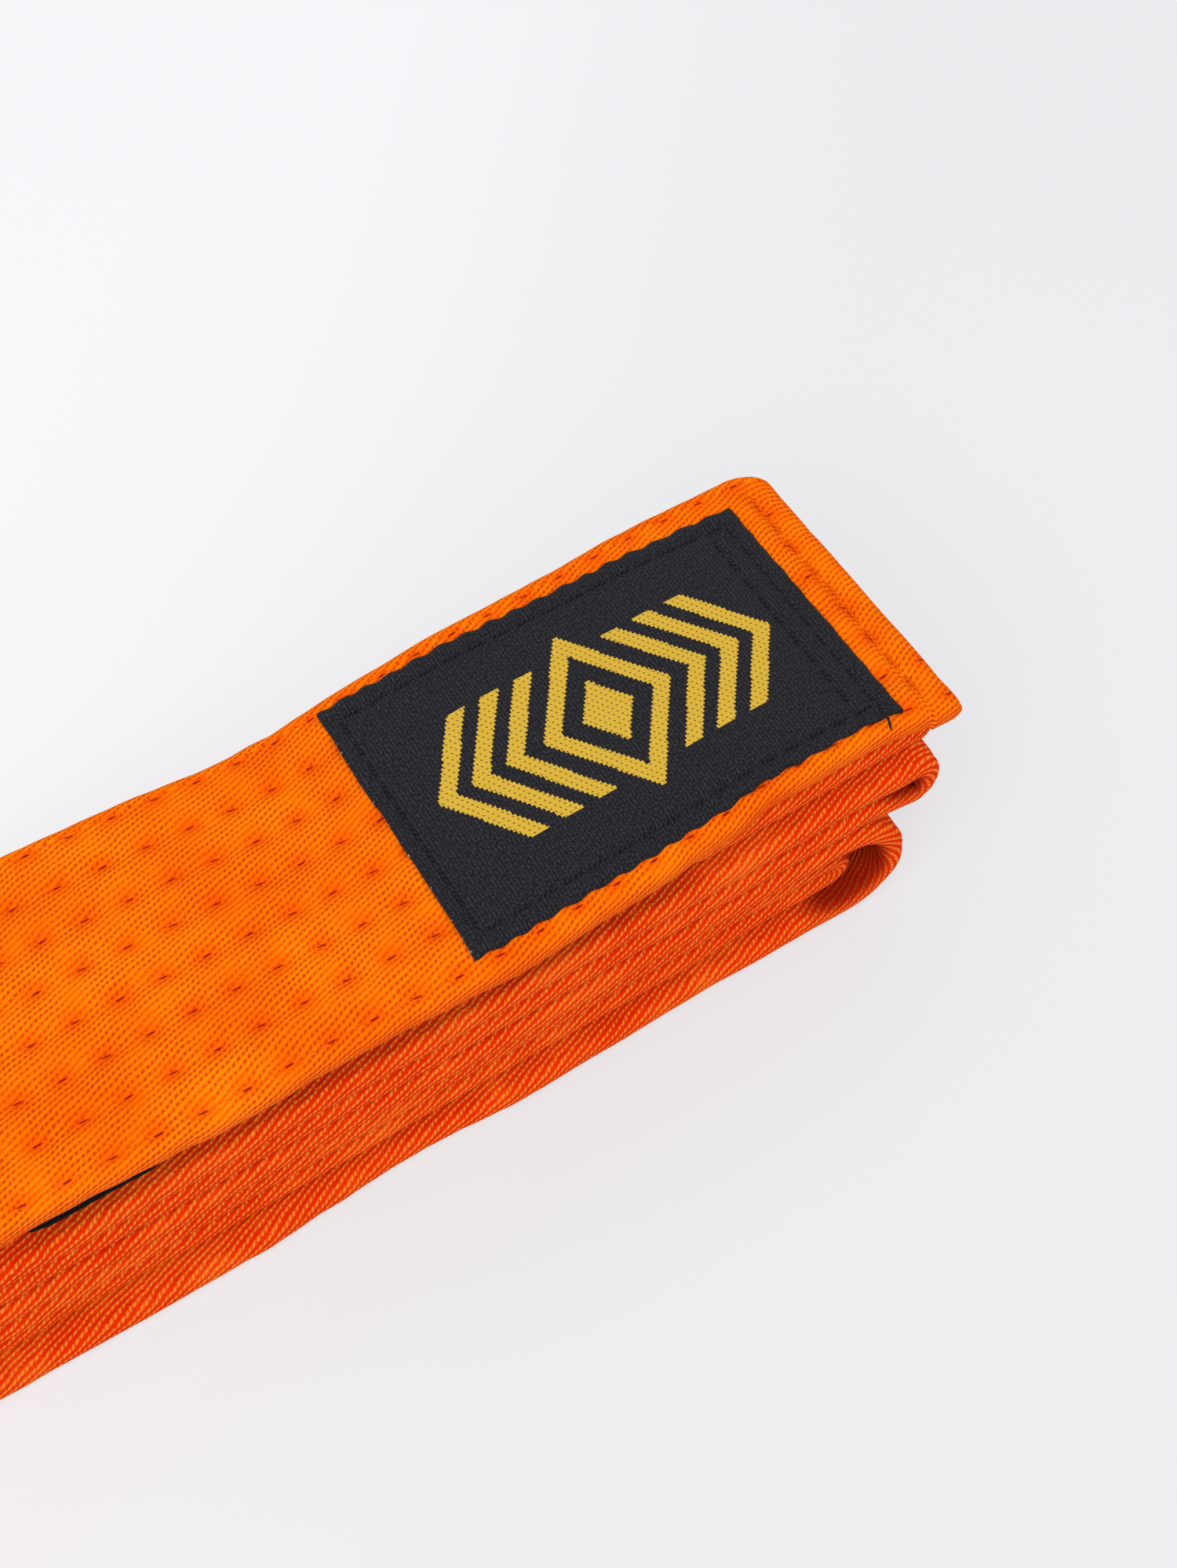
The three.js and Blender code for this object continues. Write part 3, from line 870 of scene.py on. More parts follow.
def wandering(n, value, cloth, scale):
    """The value, moved a little from place to place."""
    return n.math("MULTIPLY_ADD", n.math("SUBTRACT", n.noise(cloth, scale, 3.0), 0.5), YARN_WANDER, value)


def stitch_marks(n, stitch, away):
    """How much a place is a needle hole, and how much it is drawn in towards one."""
    along = n.math("ABSOLUTE", n.math("SUBTRACT", stitch, n.math("ROUND", stitch)))
    place, side = n.math("DIVIDE", along, 0.13), n.math("DIVIDE", away, 0.14)
    from_hole = n.math("ADD", n.math("MULTIPLY", place, place), n.math("MULTIPLY", side, side))
    drawn = n.math("MULTIPLY", n.ramp(along, 0.48, 0.05), n.ramp(away, 2.2, 0.1))
    return n.ramp(from_hole, 1.0, 0.35), drawn


def twill_material(name, ribs, mid, grooves, edge_colours, stitch_dimple_shade, shade_colour):
    """Twill, quiet on the faces and ribbed round the stretched edges, with a painted highlight on its ribs
    and painted shade in its grooves, round its stitches and deep in the folds."""
    n = Nodes(name)
    along, across = n.uv("cloth")
    stitch, away = n.uv("stitch")
    cloth = n.vector(along, across)
    fibre = n.noise(n.vector(n.math("MULTIPLY", along, 0.5), across), 7000.0, 2.0)
    patches = n.noise(cloth, 90.0, 3.0)
    uneven = n.math("ADD", n.math("MULTIPLY", fibre, 0.8), n.math("MULTIPLY_ADD", patches, 0.7, -0.75))
    contrast = n.ramp(n.noise(cloth, 260.0, 3.0), 0.25, 0.75, 0.1, 1.3)
    flat, ribbed = weave_heights(
        n, wandering(n, along, cloth, 420.0), wandering(n, across, cloth, 300.0), contrast
    )
    edge = n.ramp(away, 0.35 * RIM_AWAY, 0.75 * RIM_AWAY)
    # deep: painted shade on the back face round the folds on the right
    deep = n.ramp(away, 1.3 * RIM_AWAY, RIM_AWAY + FOLD_SHADE_AWAY)
    hole, drawn = stitch_marks(n, stitch, away)

    # The tone paints over the twill's own pattern: a painted highlight on the ribs, and painted shade in the
    # grooves and in the gaps at each break.
    tone = n.math("ADD", flat, uneven)
    face = n.mix(n.ramp(tone, 0.4, 1.0), n.mix(n.ramp(tone, 0.0, 0.45), grooves, mid), ribs)
    # painted shade in the dimple where the cloth is drawn in towards each needle hole
    face = n.mix(n.math("MULTIPLY", drawn, 0.45), face, stitch_dimple_shade)
    # Round the edges the same: the brighter ribs are a painted highlight and the deep red between them is
    # painted shade.
    rim = n.mix(n.ramp(n.math("ADD", ribbed, uneven), 0.0, 0.85), *edge_colours)
    colour = n.mix(edge, face, rim)
    # painted shade in the folds on the right (deep) and in the needle holes (hole)
    for share, most in ((deep, 0.85), (hole, 0.9)):
        colour = n.mix(n.math("MULTIPLY", share, most), colour, shade_colour)

    on_face = n.math("MULTIPLY", flat, n.math("SUBTRACT", 1.0, edge))
    height = n.math("MULTIPLY_ADD", ribbed, edge, on_face)
    relief = n.math("ADD", height, n.math("MULTIPLY", fibre, 0.3))
    relief = n.math("SUBTRACT", relief, n.math("MULTIPLY", hole, 0.3))
    normal = n.bump(relief, 0.0002, n.math("MULTIPLY_ADD", edge, 0.3, 0.7))
    return n.finish(colour, n.ramp(height, 0.0, 1.0, 0.95, 0.82), normal, Specular_IOR_Level=0.03)


cover_cloth = twill_material(
    "cover_twill",
    ribs=srgb(238, 128, 6),
    mid=srgb(228, 95, 0),
    grooves=srgb(204, 60, 0),
    edge_colours=(srgb(213, 38, 2), srgb(254, 132, 40)),
    stitch_dimple_shade=srgb(228, 62, 0),
    shade_colour=srgb(132, 12, 4),
)
bar_cloth = twill_material(
    "bar_twill",
    ribs=srgb(32, 31, 33),
    mid=srgb(21, 20, 22),
    grooves=srgb(11, 10, 12),
    edge_colours=(srgb(9, 8, 9), srgb(34, 32, 33)),
    stitch_dimple_shade=srgb(16, 15, 17),
    shade_colour=srgb(6, 6, 7),
)


TWIST = 0.0007  # length of one turn of the plies, in metres


def thread_material(name, light, dark):
    """Two-ply sewing thread: slanted bands along the tube, whose UV is (distance, turn)."""
    n = Nodes(name)
    along, turn = n.uv("cloth")
    tone = n.wave(n.math("ADD", n.math("DIVIDE", along, TWIST), turn), 1.0)
    hair = n.noise(n.position(), 5000.0, 2.0)
    colour = n.mix(n.math("MULTIPLY", tone, n.math("ADD", hair, 0.4)), dark, light)
    normal = n.bump(tone, 0.00008, 0.8)
    return n.finish(colour, n.ramp(hair, 0.3, 0.7, 0.6, 0.8), normal, Specular_IOR_Level=0.06)


orange_thread = thread_material("quilting_thread", srgb(232, 104, 2), srgb(208, 66, 0))
black_thread = thread_material("black_thread", srgb(44, 43, 47), srgb(16, 16, 18))


def wadding_material():
    """Undyed felted cotton with a few dark seed specks."""
    n = Nodes("core_cotton")
    place = n.position()
    felt = n.noise(place, 900.0, 5.0, 0.7)
    seeds = n.ramp(n.noise(place, 350.0, 1.0), 0.68, 0.74)
    colour = n.mix(n.ramp(felt, 0.3, 0.7), srgb(214, 204, 184), srgb(240, 234, 220))
    colour = n.mix(seeds, colour, srgb(150, 120, 84))
    return n.finish(colour, 0.95, n.bump(felt, 0.0003, 0.7), Sheen_Weight=0.2)


wadding = wadding_material()

# ---------------------------------------------------------------- pieces: cover, core, quilting

run_1, fold_1_8 = belt.span("run_1"), belt.span("fold_1_8")
fold_7_2, run_2 = belt.span("fold_7_2"), belt.span("run_2")
VISIBLE_RUN = 165.0  # stretch from the label end that gets the closest mesh
OVERLAP = 8.0  # how far the two fold strips reach into the straight runs
END_WALL = 0.05  # of the cover where two strips meet
HIDDEN_STEP, PLAIN_STEP, CLOSE_STEP = 1.6, 0.8, 0.5  # stations along the straight runs of the cover


def free_end_spans(start, end, step, at_start):
    """Close stations in the last 6 mm of a free end."""
    if at_start:
        return [(start, start + 2.0, 0.2), (start + 2.0, start + 6.0, 0.3), (start + 6.0, end, step)]
    return [(start, end - 6.0, step), (end - 6.0, end - 2.0, 0.3), (end - 2.0, end, 0.2)]


def dress(obj, material, slot, *cad_nodes):
    """Gives a piece its material and hides the CAD nodes that it stands for."""
    obj.data.materials.append(material)
    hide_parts(*cad_nodes)


# From where to where each strip of the cover and the core goes, the body that a run rides on, and the free
# run listed with each fold.
STRIPS = {
    "label_run": (0.0, fold_1_8[0] - OVERLAP),
    "outer_fold": (fold_1_8[0] - OVERLAP, fold_1_8[1] + OVERLAP),
    "folded_runs": (fold_1_8[1] + OVERLAP, fold_7_2[0] - OVERLAP),
    "second_fold": (fold_7_2[0] - OVERLAP, fold_7_2[1] + OVERLAP),
    "bar_run": (fold_7_2[1] + OVERLAP, belt.length),
}
BODIES = {"folded_runs": "root", "label_run": "label_run", "bar_run": "bar_run"}
BENDING = {"outer_fold": "label_run", "second_fold": "bar_run"}


def fasten(obj, strip):
    """Rides on the strip's body, or, if the strip is a fold, only has its transform baked into its mesh."""
    if strip in BENDING:
        bend_with(obj)
    else:
        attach(obj, BODIES[strip])


def make_cover(strip):
    start, end = STRIPS[strip]
    spans = spans_between(start, end, HIDDEN_STEP if strip == "folded_runs" else PLAIN_STEP, 0.1, 0.9)
    inside = [start + END_WALL, end - END_WALL]
    if strip == "label_run":
        spans = free_end_spans(start, VISIBLE_RUN, CLOSE_STEP, True) + [(VISIBLE_RUN, end, PLAIN_STEP)]
        inside[0] = start + HEM
    if strip == "bar_run":
        spans = free_end_spans(start, end, 0.9, False)
        inside[1] = end - HEM
    obj, s_of_vertex = build_cover(f"twill_{strip}", spans, inside, strip != "folded_runs")
    fasten(obj, strip)
    dress(obj, cover_cloth, "cover_twill", f"cover_{strip}")
    return obj


covers = {strip: make_cover(strip) for strip in STRIPS}

PLY_BOTTOM, PLY_TOP = 0.1, 0.8
PLY_HALF_WIDTH = HALF_WIDTH - COVER_WALL - CORE_GAP
PLY_COLUMNS = 25
PLY_END_GAP = 0.1


def make_ply(strip, side_name, face):
    """One ply of the core in a strip, with a slightly uneven face towards the cover."""
    start, end = STRIPS[strip]
    low = start + (HEM + CORE_GAP if start == 0 else PLY_END_GAP)
    high = end - (HEM + CORE_GAP if end == belt.length else PLY_END_GAP)
    ys = np.linspace(PLY_HALF_WIDTH, -PLY_HALF_WIDTH, PLY_COLUMNS)
    y = np.concatenate([ys, ys[::-1]])
    top = np.repeat([1.0, 0.0], PLY_COLUMNS)
    s = path_stations(low, high, 0.8)
    fluff = 0.06 * np.abs(pucker_noise(s[:, None] / 2.1, y[None, :] / 2.1 + 30))
    h = face * (PLY_BOTTOM + top[None, :] * (PLY_TOP - PLY_BOTTOM - fluff))
    points = belt.point(s[:, None], y[None, :], h).reshape(-1, 3)
    body = grid_faces(len(s), len(y), True).reshape(-1, 4)
    faces = facing_out(points, np.concatenate([body, end_caps(len(s), len(y))]))
    obj = new_object(f"{side_name}_wadding_{strip}", points, faces)
    fasten(obj, strip)
    dress(obj, wadding, "core_cotton", f"{side_name}_ply_{strip}")


for strip in STRIPS:
    make_ply(strip, "label_side", 1)
    make_ply(strip, "back_side", -1)


def tube(line, radius, sides):
    """One round thread along a line: its points, faces, UVs, and each point's place on the line. Each end is
    closed by four-sided faces that share the line's own end point."""
    count = len(line)
    tangent = np.gradient(line, axis=0)
    tangent /= np.linalg.norm(tangent, axis=1)[:, None]
    helper = (0.0, 1.0, 0.0) if abs(tangent[:, 1]).mean() < 0.7 else (0.0, 0.0, 1.0)
    side = np.cross(tangent, np.array(helper))
    side /= np.linalg.norm(side, axis=1)[:, None]
    other = np.cross(tangent, side)
    angle = np.arange(sides) / sides * 2 * math.pi
    ring = side[:, None] * np.cos(angle)[None, :, None] + other[:, None] * np.sin(angle)[None, :, None]
    ends = np.ones(count)
    ends[[0, -1]] = 0.3
    points = line[:, None] + ring * radius * ends[:, None, None]
    length = np.concatenate([[0], np.cumsum(np.linalg.norm(np.diff(line, axis=0), axis=1))])
    body = grid_faces(count, sides, True)
    uv = grid_corners(body.shape[:2], length * MM, np.arange(sides + 1) / sides)
    last = (count - 1) * sides
    i = np.arange(0, sides, 2)
    j, k = (i + 1) % sides, (i + 2) % sides
    first_cap = np.column_stack([np.full(len(i), count * sides), k, j, i])
    last_cap = np.column_stack([np.full(len(i), count * sides + 1), last + i, last + j, last + k])
    cap = np.stack([first_cap, last_cap]).reshape(-1, 4)
    return (
        np.concatenate([points.reshape(-1, 3), line[:1], line[-1:]]),
        np.concatenate([body.reshape(-1, 4), cap]),
        np.concatenate([uv.reshape(-1, 2), np.zeros((4 * len(cap), 2))]),
        np.concatenate([np.repeat(np.arange(count), sides), [0, count - 1]]),
    )


def tubes(name, lines, radius, sides=6):
    """Round threads with an even number of sides along lines of points, in one mesh. Returns it and, for each
    line, the place on it of each of its vertices."""
    points, faces, uvs, places = [], [], [], []
    for line in lines:
        first = sum(len(part) for part in points)
        line_points, line_faces, uv, place = tube(line, radius, sides)
        points.append(line_points)
        faces.append(line_faces + first)
        uvs.append(uv)
        places.append(place)
    points, faces, uv = np.concatenate(points), np.concatenate(faces), np.concatenate(uvs)
    turned = facing_out(points, faces)
    if turned[0, 0] != faces[0, 0]:
        uv = reversed_corners(uv)
    return new_object(name, points, turned, uv), places


THREAD_RADIUS = 0.15
DIP = 0.55  # how deep the thread goes at a needle hole
SEAM_SUNK = 0.47  # how deep the end seam's thread lies between its needle holes


def row_line(row, face, start, end, offsets):
    """Distances and heights of one quilting thread, with points at the given shares of each stitch."""
    probe = np.arange(start, end, 0.25)
    count = stitch_count(probe, row, face)
    wanted = (np.arange(math.floor(count[0]), math.ceil(count[-1]) + 1)[:, None] + offsets).ravel()
    wanted = wanted[(wanted > count[0]) & (wanted < count[-1])]
    s = np.interp(wanted, count, probe)
    to_hole = np.abs(wanted - np.round(wanted)) * STITCH_PITCH
    flatter = 0.5 if row in (0, ROWS - 1) else 1.0
    bed = HALF_THICKNESS - SLACK - flatter * (VALLEY_DEPTH + WIDE_VALLEY[0])
    height = np.minimum(bed - DIP * bell(to_hole, 0.8), inner_limit(s, face, 0.35))
    return s, face * height


# The stretch whose stitches each quilting piece holds; the free ends' pieces reach round the folds beside
# them.
SEWN = {
    "label_run": (0.0, fold_1_8[1]),
    "folded_runs": (fold_1_8[1], fold_7_2[0]),
    "bar_run": (fold_7_2[0], belt.length),
}


def make_quilting(run, faces, offsets, sides):
    """All rows of a stretch, on the given faces, in one piece."""
    start, end = SEWN[run]
    low = start + (ROW_END if start == 0 else 0.2)
    high = end - (ROW_END if end == belt.length else 0.2)
    lines, places = [], []
    for face in faces:
        for row in range(ROWS):
            s, h = row_line(row, face, low, high, offsets)
            if run == "label_run" and face > 0 and abs(row_y(row)) < LABEL_HALF:
                h = np.where(into_label(s) > -0.5, h - 0.25, h)
            lines.append(belt.point(s, np.full(len(s), row_y(row)), h))
            places.append(s)
    obj, owners = tubes(f"quilting_{run}", lines, THREAD_RADIUS, sides)
    if run == "folded_runs":
        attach(obj, "root")
    else:
        bend_with(obj)
    dress(obj, orange_thread, "quilting_thread", *(f"quilting_row_{row + 1}_{run}" for row in range(ROWS)))


CLOSE_OFFSETS = np.array([0.0, 0.06, 0.12, 0.22, 0.5, 0.78, 0.88, 0.94])
FAR_OFFSETS = np.array([0.0, 0.1, 0.25, 0.75, 0.9])
make_quilting("label_run", (1, -1), CLOSE_OFFSETS, 6)
make_quilting("folded_runs", (1,), FAR_OFFSETS, 4)
make_quilting("bar_run", (1, -1), FAR_OFFSETS, 4)


def stitched_line(length, pitch, start=0.0):
    """Places along a seam and how deep the thread is there, from 0 on the cloth to 1 in a needle hole."""
    stitches = max(1, int(round(length / pitch)))
    parts = np.array([0.0, 0.07, 0.16, 0.3, 0.5, 0.7, 0.84, 0.93])
    place = (np.arange(stitches)[:, None] + parts[None, :]).ravel()
    place = np.append(place, stitches) / stitches * length
    to_hole = np.abs(place / length * stitches - np.round(place / length * stitches)) * pitch
    return start + place, bell(to_hole, 0.4)


def make_end_seam(run, s_seam):
    y, depth = stitched_line(END_SEAM_LENGTH, SEAM_PITCH, -END_SEAM_LENGTH / 2)
    wander = 0.12 * drift_noise(y / 6, 5.5)
    height = HALF_THICKNESS - SEAM_SUNK - DIP * depth
    lines = [belt.point(s_seam + wander, y, face * height) for face in (1, -1)]
    obj, _ = tubes(f"seam_thread_{run}", lines, THREAD_RADIUS)
    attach(obj, run)
    dress(obj, orange_thread, "quilting_thread", f"end_seam_{run}")


make_end_seam("label_run", END_SEAM)
make_end_seam("bar_run", belt.length - END_SEAM)

# ---------------------------------------------------------------- woven label

LABEL_BOTTOM = HALF_THICKNESS - 0.20
LABEL_TOP = HALF_THICKNESS + 0.22
LABEL_STEP = 0.4
LABEL_SEAM = 2.0
LABEL_END_SEAM = 4.6
LABEL_SEAM_DEPTH = 0.26
LABEL_RIM_DROP = 0.10
LABEL_LUMP_PITCH = 3.2
label_noise = Noise(57)


def label_y(s, y):
    """Where a point of the label lies across the belt."""
    centre, half = label_middle(s)
    return centre + y / LABEL_HALF * half


def label_top(s, y):
    """Height of the label's face, pulled down along its seams and a little lumpy round its border."""
    from_border = np.minimum(into_label(s), LABEL_HALF - np.abs(y))
    seam = bell(from_border - LABEL_SEAM, 0.6) + bell(s - LABEL_S[0] - LABEL_END_SEAM, 0.6)
    wave = 0.08 * label_noise(s / 7, y / 9) + 0.05 * label_noise(s / 2.2, y / 2.4 + 9)
    lumps = np.cos((s + y) / LABEL_LUMP_PITCH * 2 * math.pi) + label_noise(s / 1.7, y / 1.7 + 40)
    rim = 0.09 * lumps * smooth(from_border, LABEL_END_SEAM + 1.0, 1.2)
    return LABEL_TOP + wave + rim - LABEL_SEAM_DEPTH * seam - LABEL_RIM_DROP * bell(from_border, 0.35)


def edge_loop(rows, columns):
    """The points round the outside of a grid, in order."""
    top, right = np.arange(columns), np.arange(2, rows + 1) * columns - 1
    bottom = (rows - 1) * columns + np.arange(columns - 2, -1, -1)
    left = np.arange(rows - 2, 0, -1) * columns
    return np.concatenate([top, right, bottom, left])


def make_label():
    length, width = LABEL_S[1] - LABEL_S[0], 2 * LABEL_HALF
    ns, ny = int(length / LABEL_STEP) + 1, int(width / LABEL_STEP) + 1
    s = np.linspace(LABEL_S[0], LABEL_S[1], ns)
    y = np.linspace(LABEL_HALF, -LABEL_HALF, ny)
    grid_s, grid_y = np.meshgrid(s, y, indexing="ij")
    border = (np.abs(grid_y) / LABEL_HALF) ** 12
    scallop = 0.13 * np.sin(grid_s / 3.3 * 2 * math.pi + 2 * label_noise(grid_s / 5, 50.5)) * border
    frayed = 0.18 * label_noise(grid_y / 2.2, 30.5) * smooth(grid_s, LABEL_S[1] - 1.5, LABEL_S[1])
    place_s, place_y = grid_s + frayed, label_y(grid_s, grid_y + np.sign(grid_y) * scallop)
    top = belt.point(place_s, place_y, label_top(grid_s, grid_y))
    bottom = belt.point(place_s, place_y, np.full(grid_s.shape, LABEL_BOTTOM))
    points = np.concatenate([top.reshape(-1, 3), bottom.reshape(-1, 3)])
    upper = grid_faces(ns, ny, False).reshape(-1, 4)
    loop = edge_loop(ns, ny)
    following = np.roll(loop, -1)
    wall = np.column_stack([loop + ns * ny, following + ns * ny, following, loop])
    faces = facing_out(points, np.concatenate([upper, upper[:, ::-1] + ns * ny, wall]))
    flat = np.column_stack([(s.mean() - grid_s).ravel(), grid_y.ravel()]) * MM
    obj = new_object("label_cloth", points, faces, np.concatenate([flat, flat])[faces.ravel()])
    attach(obj, "label_run")
    dress(obj, label_material(), "label_satin", "woven_label")


GOLD_LIGHT = srgb(220, 184, 62)
GOLD_DARK = srgb(176, 134, 30)
SATIN_LIGHT = srgb(59, 58, 67)
SATIN_DARK = srgb(5, 5, 7)
GOLD_BOUND = srgb(70, 50, 14)
WORN_EDGE = srgb(190, 184, 170)

# The motif, in metres on the label.
GOLD_THREAD = (0.00034, 0.00022)  # along and across the label
BINDING_PITCH = (0.00078, 0.00062)  # of the two sets of lines that the binding points lie on
LOZENGE = 0.0034
LOZENGE_FRAME = (0.0062, 0.0086)
CHEVRON_STARTS = (0.0112, 0.0157, 0.0202)
CHEVRON_WIDTH = 0.0024
CHEVRON_SLOPE = 0.75
MOTIF_HALF = 0.0088


def within(n, value, low, high):
    return n.math("MULTIPLY", n.math("GREATER_THAN", value, low), n.math("LESS_THAN", value, high))


def label_motif(n, x, y):
    """1 in a lozenge between chevrons, with edges that step from thread to thread."""

    def on_thread(value, pitch):
        middle = n.math("ADD", n.math("FLOOR", n.math("DIVIDE", value, pitch)), 0.5)
        return n.math("ABSOLUTE", n.math("MULTIPLY", middle, pitch))

    ax, ay = on_thread(x, GOLD_THREAD[0]), on_thread(y, GOLD_THREAD[1])
    chevron = n.math("ADD", ax, n.math("MULTIPLY", ay, CHEVRON_SLOPE))
    motif = n.math("MAXIMUM", within(n, chevron, *LOZENGE_FRAME), n.math("LESS_THAN", chevron, LOZENGE))
    for start in CHEVRON_STARTS:
        band = within(n, chevron, start, start + CHEVRON_WIDTH)
        motif = n.math("MAXIMUM", motif, n.math("MULTIPLY", band, n.math("LESS_THAN", ay, MOTIF_HALF)))
    return motif


def binding_points(n, x, y):
    """Small dark points where the gold threads are bound down."""
    rising = n.math("ADD", x, n.math("MULTIPLY", y, 0.62))
    falling = n.math("SUBTRACT", y, n.math("MULTIPLY", x, 0.25))
    diagonal, counter = (
        n.math("FRACT", n.math("DIVIDE", value, pitch))
        for value, pitch in zip((rising, falling), BINDING_PITCH)
    )
    across_one = n.ramp(n.math("ABSOLUTE", n.math("SUBTRACT", diagonal, 0.5)), 0.16, 0.08)
    across_other = n.ramp(n.math("ABSOLUTE", n.math("SUBTRACT", counter, 0.5)), 0.24, 0.12)
    return n.math("MULTIPLY", across_one, across_other)


def label_material():
    """Black satin with a gold motif, and a pale worn fold at its inner end."""
    n = Nodes("label_satin")
    x, y = n.uv("cloth")
    motif, bound = label_motif(n, x, y), binding_points(n, x, y)
    line = n.wave(n.math("ADD", x, n.math("MULTIPLY", y, 2.2)), 0.00042)
    grain = n.noise(n.vector(x, y), 3600.0, 2.0)
    lift = n.math("MULTIPLY_ADD", n.wave(x, 0.00046), 0.5, n.math("MULTIPLY", line, 0.5))
    black = n.mix(n.math("MULTIPLY", lift, n.ramp(grain, 0.3, 0.75)), SATIN_DARK, SATIN_LIGHT)
    worn = n.ramp(n.noise(n.vector(x, y), 1800.0, 3.0), 0.6, 0.72)
    folded = n.ramp(x, -0.0282, -0.0285)
    black = n.mix(n.math("MULTIPLY", worn, folded), black, WORN_EDGE)
    gold = n.mix(n.math("MULTIPLY_ADD", line, 0.5, n.math("MULTIPLY", grain, 0.5)), GOLD_DARK, GOLD_LIGHT)
    gold = n.mix(n.math("MULTIPLY", bound, 0.8), gold, GOLD_BOUND)
    height = n.math("ADD", n.math("MULTIPLY", line, 0.35), n.math("MULTIPLY", motif, 0.8))
    height = n.math("SUBTRACT", height, n.math("MULTIPLY", n.math("MULTIPLY", bound, motif), 0.5))
    normal = n.bump(height, 0.00007, 0.8)
    roughness = n.ramp(line, 0.0, 1.0, 0.7, 0.55)
    colour = n.mix(motif, black, gold)
    return n.finish(colour, roughness, normal, Specular_IOR_Level=0.14, Sheen_Weight=0.02)


make_label()

BLACK_RADIUS = 0.15


def label_seam_points(s, y, depth):
    """Points of a thread that lies on the label and dips into it at its stitches."""
    return belt.point(s, label_y(s, y), label_top(s, y) + BLACK_RADIUS * 0.55 - 0.38 * depth)


def loose_thread_end():
    """The cut end of the border thread, which hangs over the label's near edge by its outer corner."""
    t = np.linspace(0, 1, 12)
    s = LABEL_S[0] + LABEL_SEAM + 0.9 * t**2
    y = label_y(s, -LABEL_HALF + LABEL_SEAM - 3.9 * t)
    h = LABEL_TOP + 0.1 + 0.35 * np.sin(math.pi * t)
    return belt.point(s, y, h)


def make_label_border():
    """One thread along each side of the label, 2 mm in from its edges, and a loose end."""
    s0, s1 = LABEL_S[0] + LABEL_SEAM, LABEL_S[1] - LABEL_SEAM
    half = LABEL_HALF - LABEL_SEAM
    lines = []
    for y_side in (-half, half):
        s, depth = stitched_line(s1 - s0, 3.3, s0)
        lines.append(label_seam_points(s, np.full(len(s), y_side), depth))
    for s_side in (s0, s1):
        y, depth = stitched_line(2 * half, 3.0, -half)
        lines.append(label_seam_points(np.full(len(y), s_side), y, depth))
    lines.append(loose_thread_end())
    return tubes("label_border_thread", lines, BLACK_RADIUS)[0]


def make_label_end_row():
    """A second row across the label by its outer end."""
    half = LABEL_HALF - LABEL_SEAM - 1.2
    y, depth = stitched_line(2 * half, 3.0, -half)
    s = np.full(len(y), LABEL_S[0] + LABEL_END_SEAM) + 0.1 * drift_noise(y / 5, 8.5)
    return tubes("label_end_thread", [label_seam_points(s, y, depth)], BLACK_RADIUS)[0]


for node, stitching in (
    ("label_border_stitching", make_label_border()),
    ("label_end_stitching", make_label_end_row()),
):
    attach(stitching, "label_run")
    dress(stitching, black_thread, "black_thread", node)

# ---------------------------------------------------------------- rank bar

BAR_INNER = 0.16  # air between the belt and the sleeve
BAR_WALL = 0.4
BAR_SEAM = 3.0  # from the sleeve's ends
BAR_SEAM_HALF = 18.0


def sleeve_section(offset):
    """Cross-section round the belt at an offset, as y and h."""
    half_h, half_y, corner = HALF_THICKNESS + offset, HALF_WIDTH + offset, 1.7 + offset
    angle = np.linspace(math.pi / 2, -math.pi / 2, 11)
    round_y, round_h = half_y - corner + corner * np.cos(angle), half_h * np.sin(angle)
    ys = np.linspace(half_y - corner, -(half_y - corner), 41)[1:-1]
    flat_h = np.full(len(ys), half_h)
    y = np.concatenate([ys, -round_y, ys[::-1], round_y[::-1]])
    h = np.concatenate([flat_h, round_h, -flat_h, round_h[::-1]])
    return y, h


def make_sleeve():
    s = np.linspace(BAR_S[0], BAR_S[1], 134)
    y_out, h_out = sleeve_section(BAR_INNER + BAR_WALL)
    y_in, h_in = sleeve_section(BAR_INNER)
    columns = len(y_out)
    crease = 0.07 * pucker_noise(s[:, None] / 3.5, y_out[None, :] / 6 + 10)
    dip = 0.10 * (bell(s - BAR_S[0] - BAR_SEAM, 0.7) + bell(BAR_S[1] - BAR_SEAM - s, 0.7))[:, None]
    outer_h = h_out[None, :] * (1 - (np.abs(crease) + dip) / np.max(h_out))
    outer = belt.point(s[:, None], y_out[None, :], outer_h).reshape(-1, 3)
    inner = belt.point(s[:, None], y_in[None, :], h_in[None, :]).reshape(-1, 3)
    points = np.concatenate([outer, inner])
    skin = grid_faces(len(s), columns, True).reshape(-1, 4)
    j = np.arange(columns)
    k = (j + 1) % columns
    offset, last = len(outer), (len(s) - 1) * columns
    start_rim = np.column_stack([j, j + offset, k + offset, k])
    end_rim = np.column_stack([last + j, last + k, last + k + offset, last + j + offset])
    faces = facing_out(points, np.concatenate([skin, skin[:, ::-1] + offset, start_rim, end_rim]))
    v = np.concatenate([[0], np.cumsum(np.hypot(np.diff(y_out), np.diff(h_out)))])
    place = np.column_stack([np.repeat(s, columns), np.tile(v, len(s))]) * MM
    uv = np.concatenate([place, place])[faces.ravel()]
    obj = new_object("rank_bar_cloth", points, faces, uv, np.full(uv.shape, NO_STITCH))
    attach(obj, "bar_run")
    dress(obj, bar_cloth, "bar_twill", "rank_bar_sleeve")


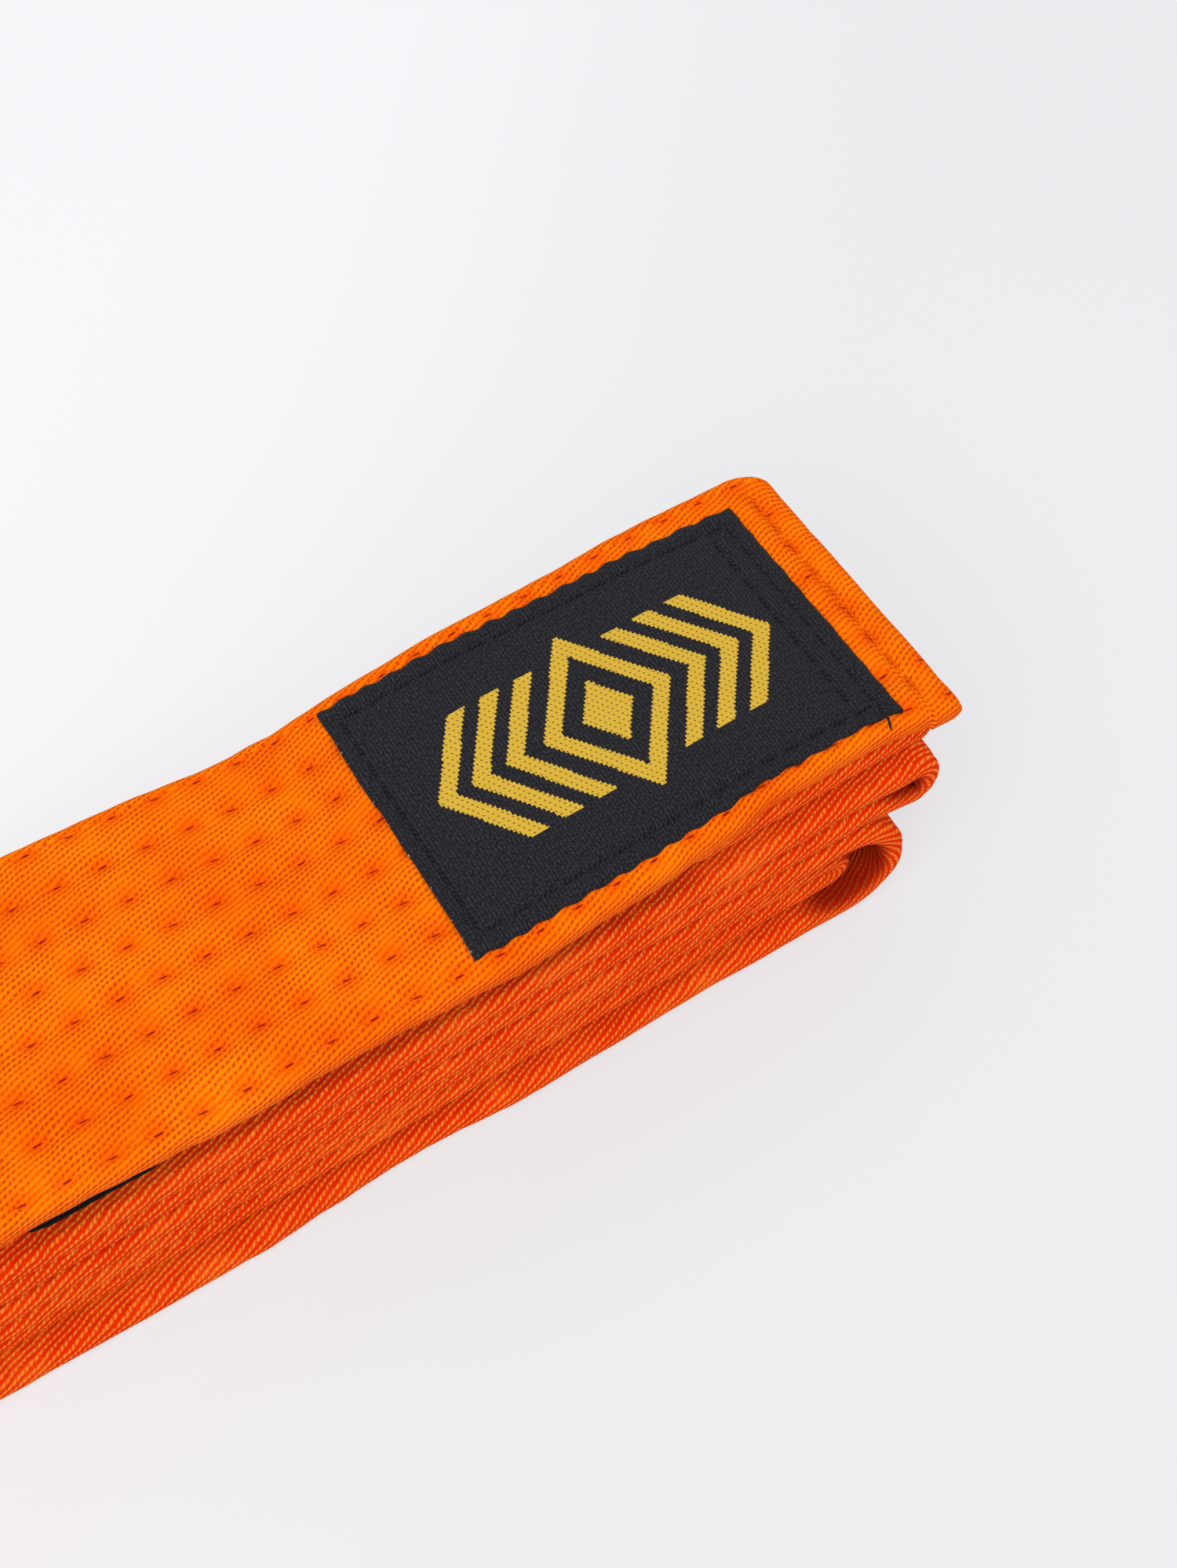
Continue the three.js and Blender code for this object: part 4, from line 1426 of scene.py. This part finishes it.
def make_bar_row(place, s_row):
    """One row of stitches across the sleeve, on both faces."""
    y, depth = stitched_line(2 * BAR_SEAM_HALF, 3.4, -BAR_SEAM_HALF)
    height = HALF_THICKNESS + BAR_INNER + BAR_WALL - 0.12 + BLACK_RADIUS * 0.5 - 0.4 * depth
    lines = [belt.point(np.full(len(y), s_row), y, face * height) for face in (1, -1)]
    obj, _ = tubes(f"rank_bar_thread_{place}", lines, BLACK_RADIUS)
    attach(obj, "bar_run")
    dress(obj, black_thread, "black_thread", f"rank_bar_stitching_{place}")


make_sleeve()
make_bar_row("inner", BAR_S[0] + BAR_SEAM)
make_bar_row("outer", BAR_S[1] - BAR_SEAM)

# ---------------------------------------------------------------- floor and light


FLOOR_HALF = 30.0  # metres
LIGHT_POOL = (1.1, 0.3)  # distances from the belt at which the painted pool of light on the floor ends and is full
FLOOR_GREY, FLOOR_GREY_2 = (0.22, 0.22, 0.225, 1.0), (0.23, 0.23, 0.235, 1.0)
FLOOR_PAINTED_LIGHT = (0.30, 0.30, 0.305, 1.0)
FLOOR_GLOW = (0.98, 0.985, 1.0, 1.0)


def make_floor():
    """A pale sheet that is also lit from below, as on a light table, so that shadows stay faint. It is
    painted a little brighter on the left of the belt, as a painted pool of light."""
    corners = ((-1, -1, 0), (1, -1, 0), (1, 1, 0), (-1, 1, 0))
    floor = new_object("floor", np.array(corners) * FLOOR_HALF / MM, [[0, 1, 2, 3]])
    n = Nodes("floor")
    place = n.position()
    split = n.node("ShaderNodeSeparateXYZ")
    n.put(split.inputs[0], place)
    distance = n.node("ShaderNodeVectorMath", operation="LENGTH")
    n.put(distance.inputs[0], place)
    # painted pool of light: the floor's colour is brighter on the left of the belt and near it
    to_left = n.ramp(n.math("SUBTRACT", split.outputs[1], split.outputs[0]), -0.13, 0.05)
    to_left = n.math("MULTIPLY", to_left, n.ramp(distance.outputs["Value"], *LIGHT_POOL))
    colour = n.mix(to_left, n.mix(n.noise(place, 8.0, 3.0), FLOOR_GREY, FLOOR_GREY_2), FLOOR_PAINTED_LIGHT)
    sheet = n.finish(colour, 0.9, Specular_IOR_Level=0.0, Emission_Color=FLOOR_GLOW, Emission_Strength=0.58)
    floor.data.materials.append(sheet)


def make_light(name, place, side, power, colour):
    """A square lamp that faces the belt."""
    data = bpy.data.lights.new(name, "AREA")
    data.shape = "SQUARE"
    data.size = side
    data.energy = power
    data.color = colour
    light = bpy.data.objects.new(name, data)
    light.location = place
    light.rotation_mode = "QUATERNION"
    light.rotation_quaternion = (-Vector(place)).to_track_quat("-Z", "Y")
    bpy.context.scene.collection.objects.link(light)


def make_studio():
    make_floor()
    make_light("softbox", place=(-0.40, -0.42, 0.95), side=0.9, power=7.5, colour=(1.0, 0.995, 0.99))
    world = bpy.data.worlds.new("studio")
    world.use_nodes = True
    background = world.node_tree.nodes["Background"]
    background.inputs["Color"].default_value = (0.96, 0.975, 1.0, 1.0)
    background.inputs["Strength"].default_value = 0.92
    scene = bpy.context.scene
    scene.world = world
    scene.view_settings.view_transform = "Standard"
    scene.view_settings.look = "None"


make_studio()
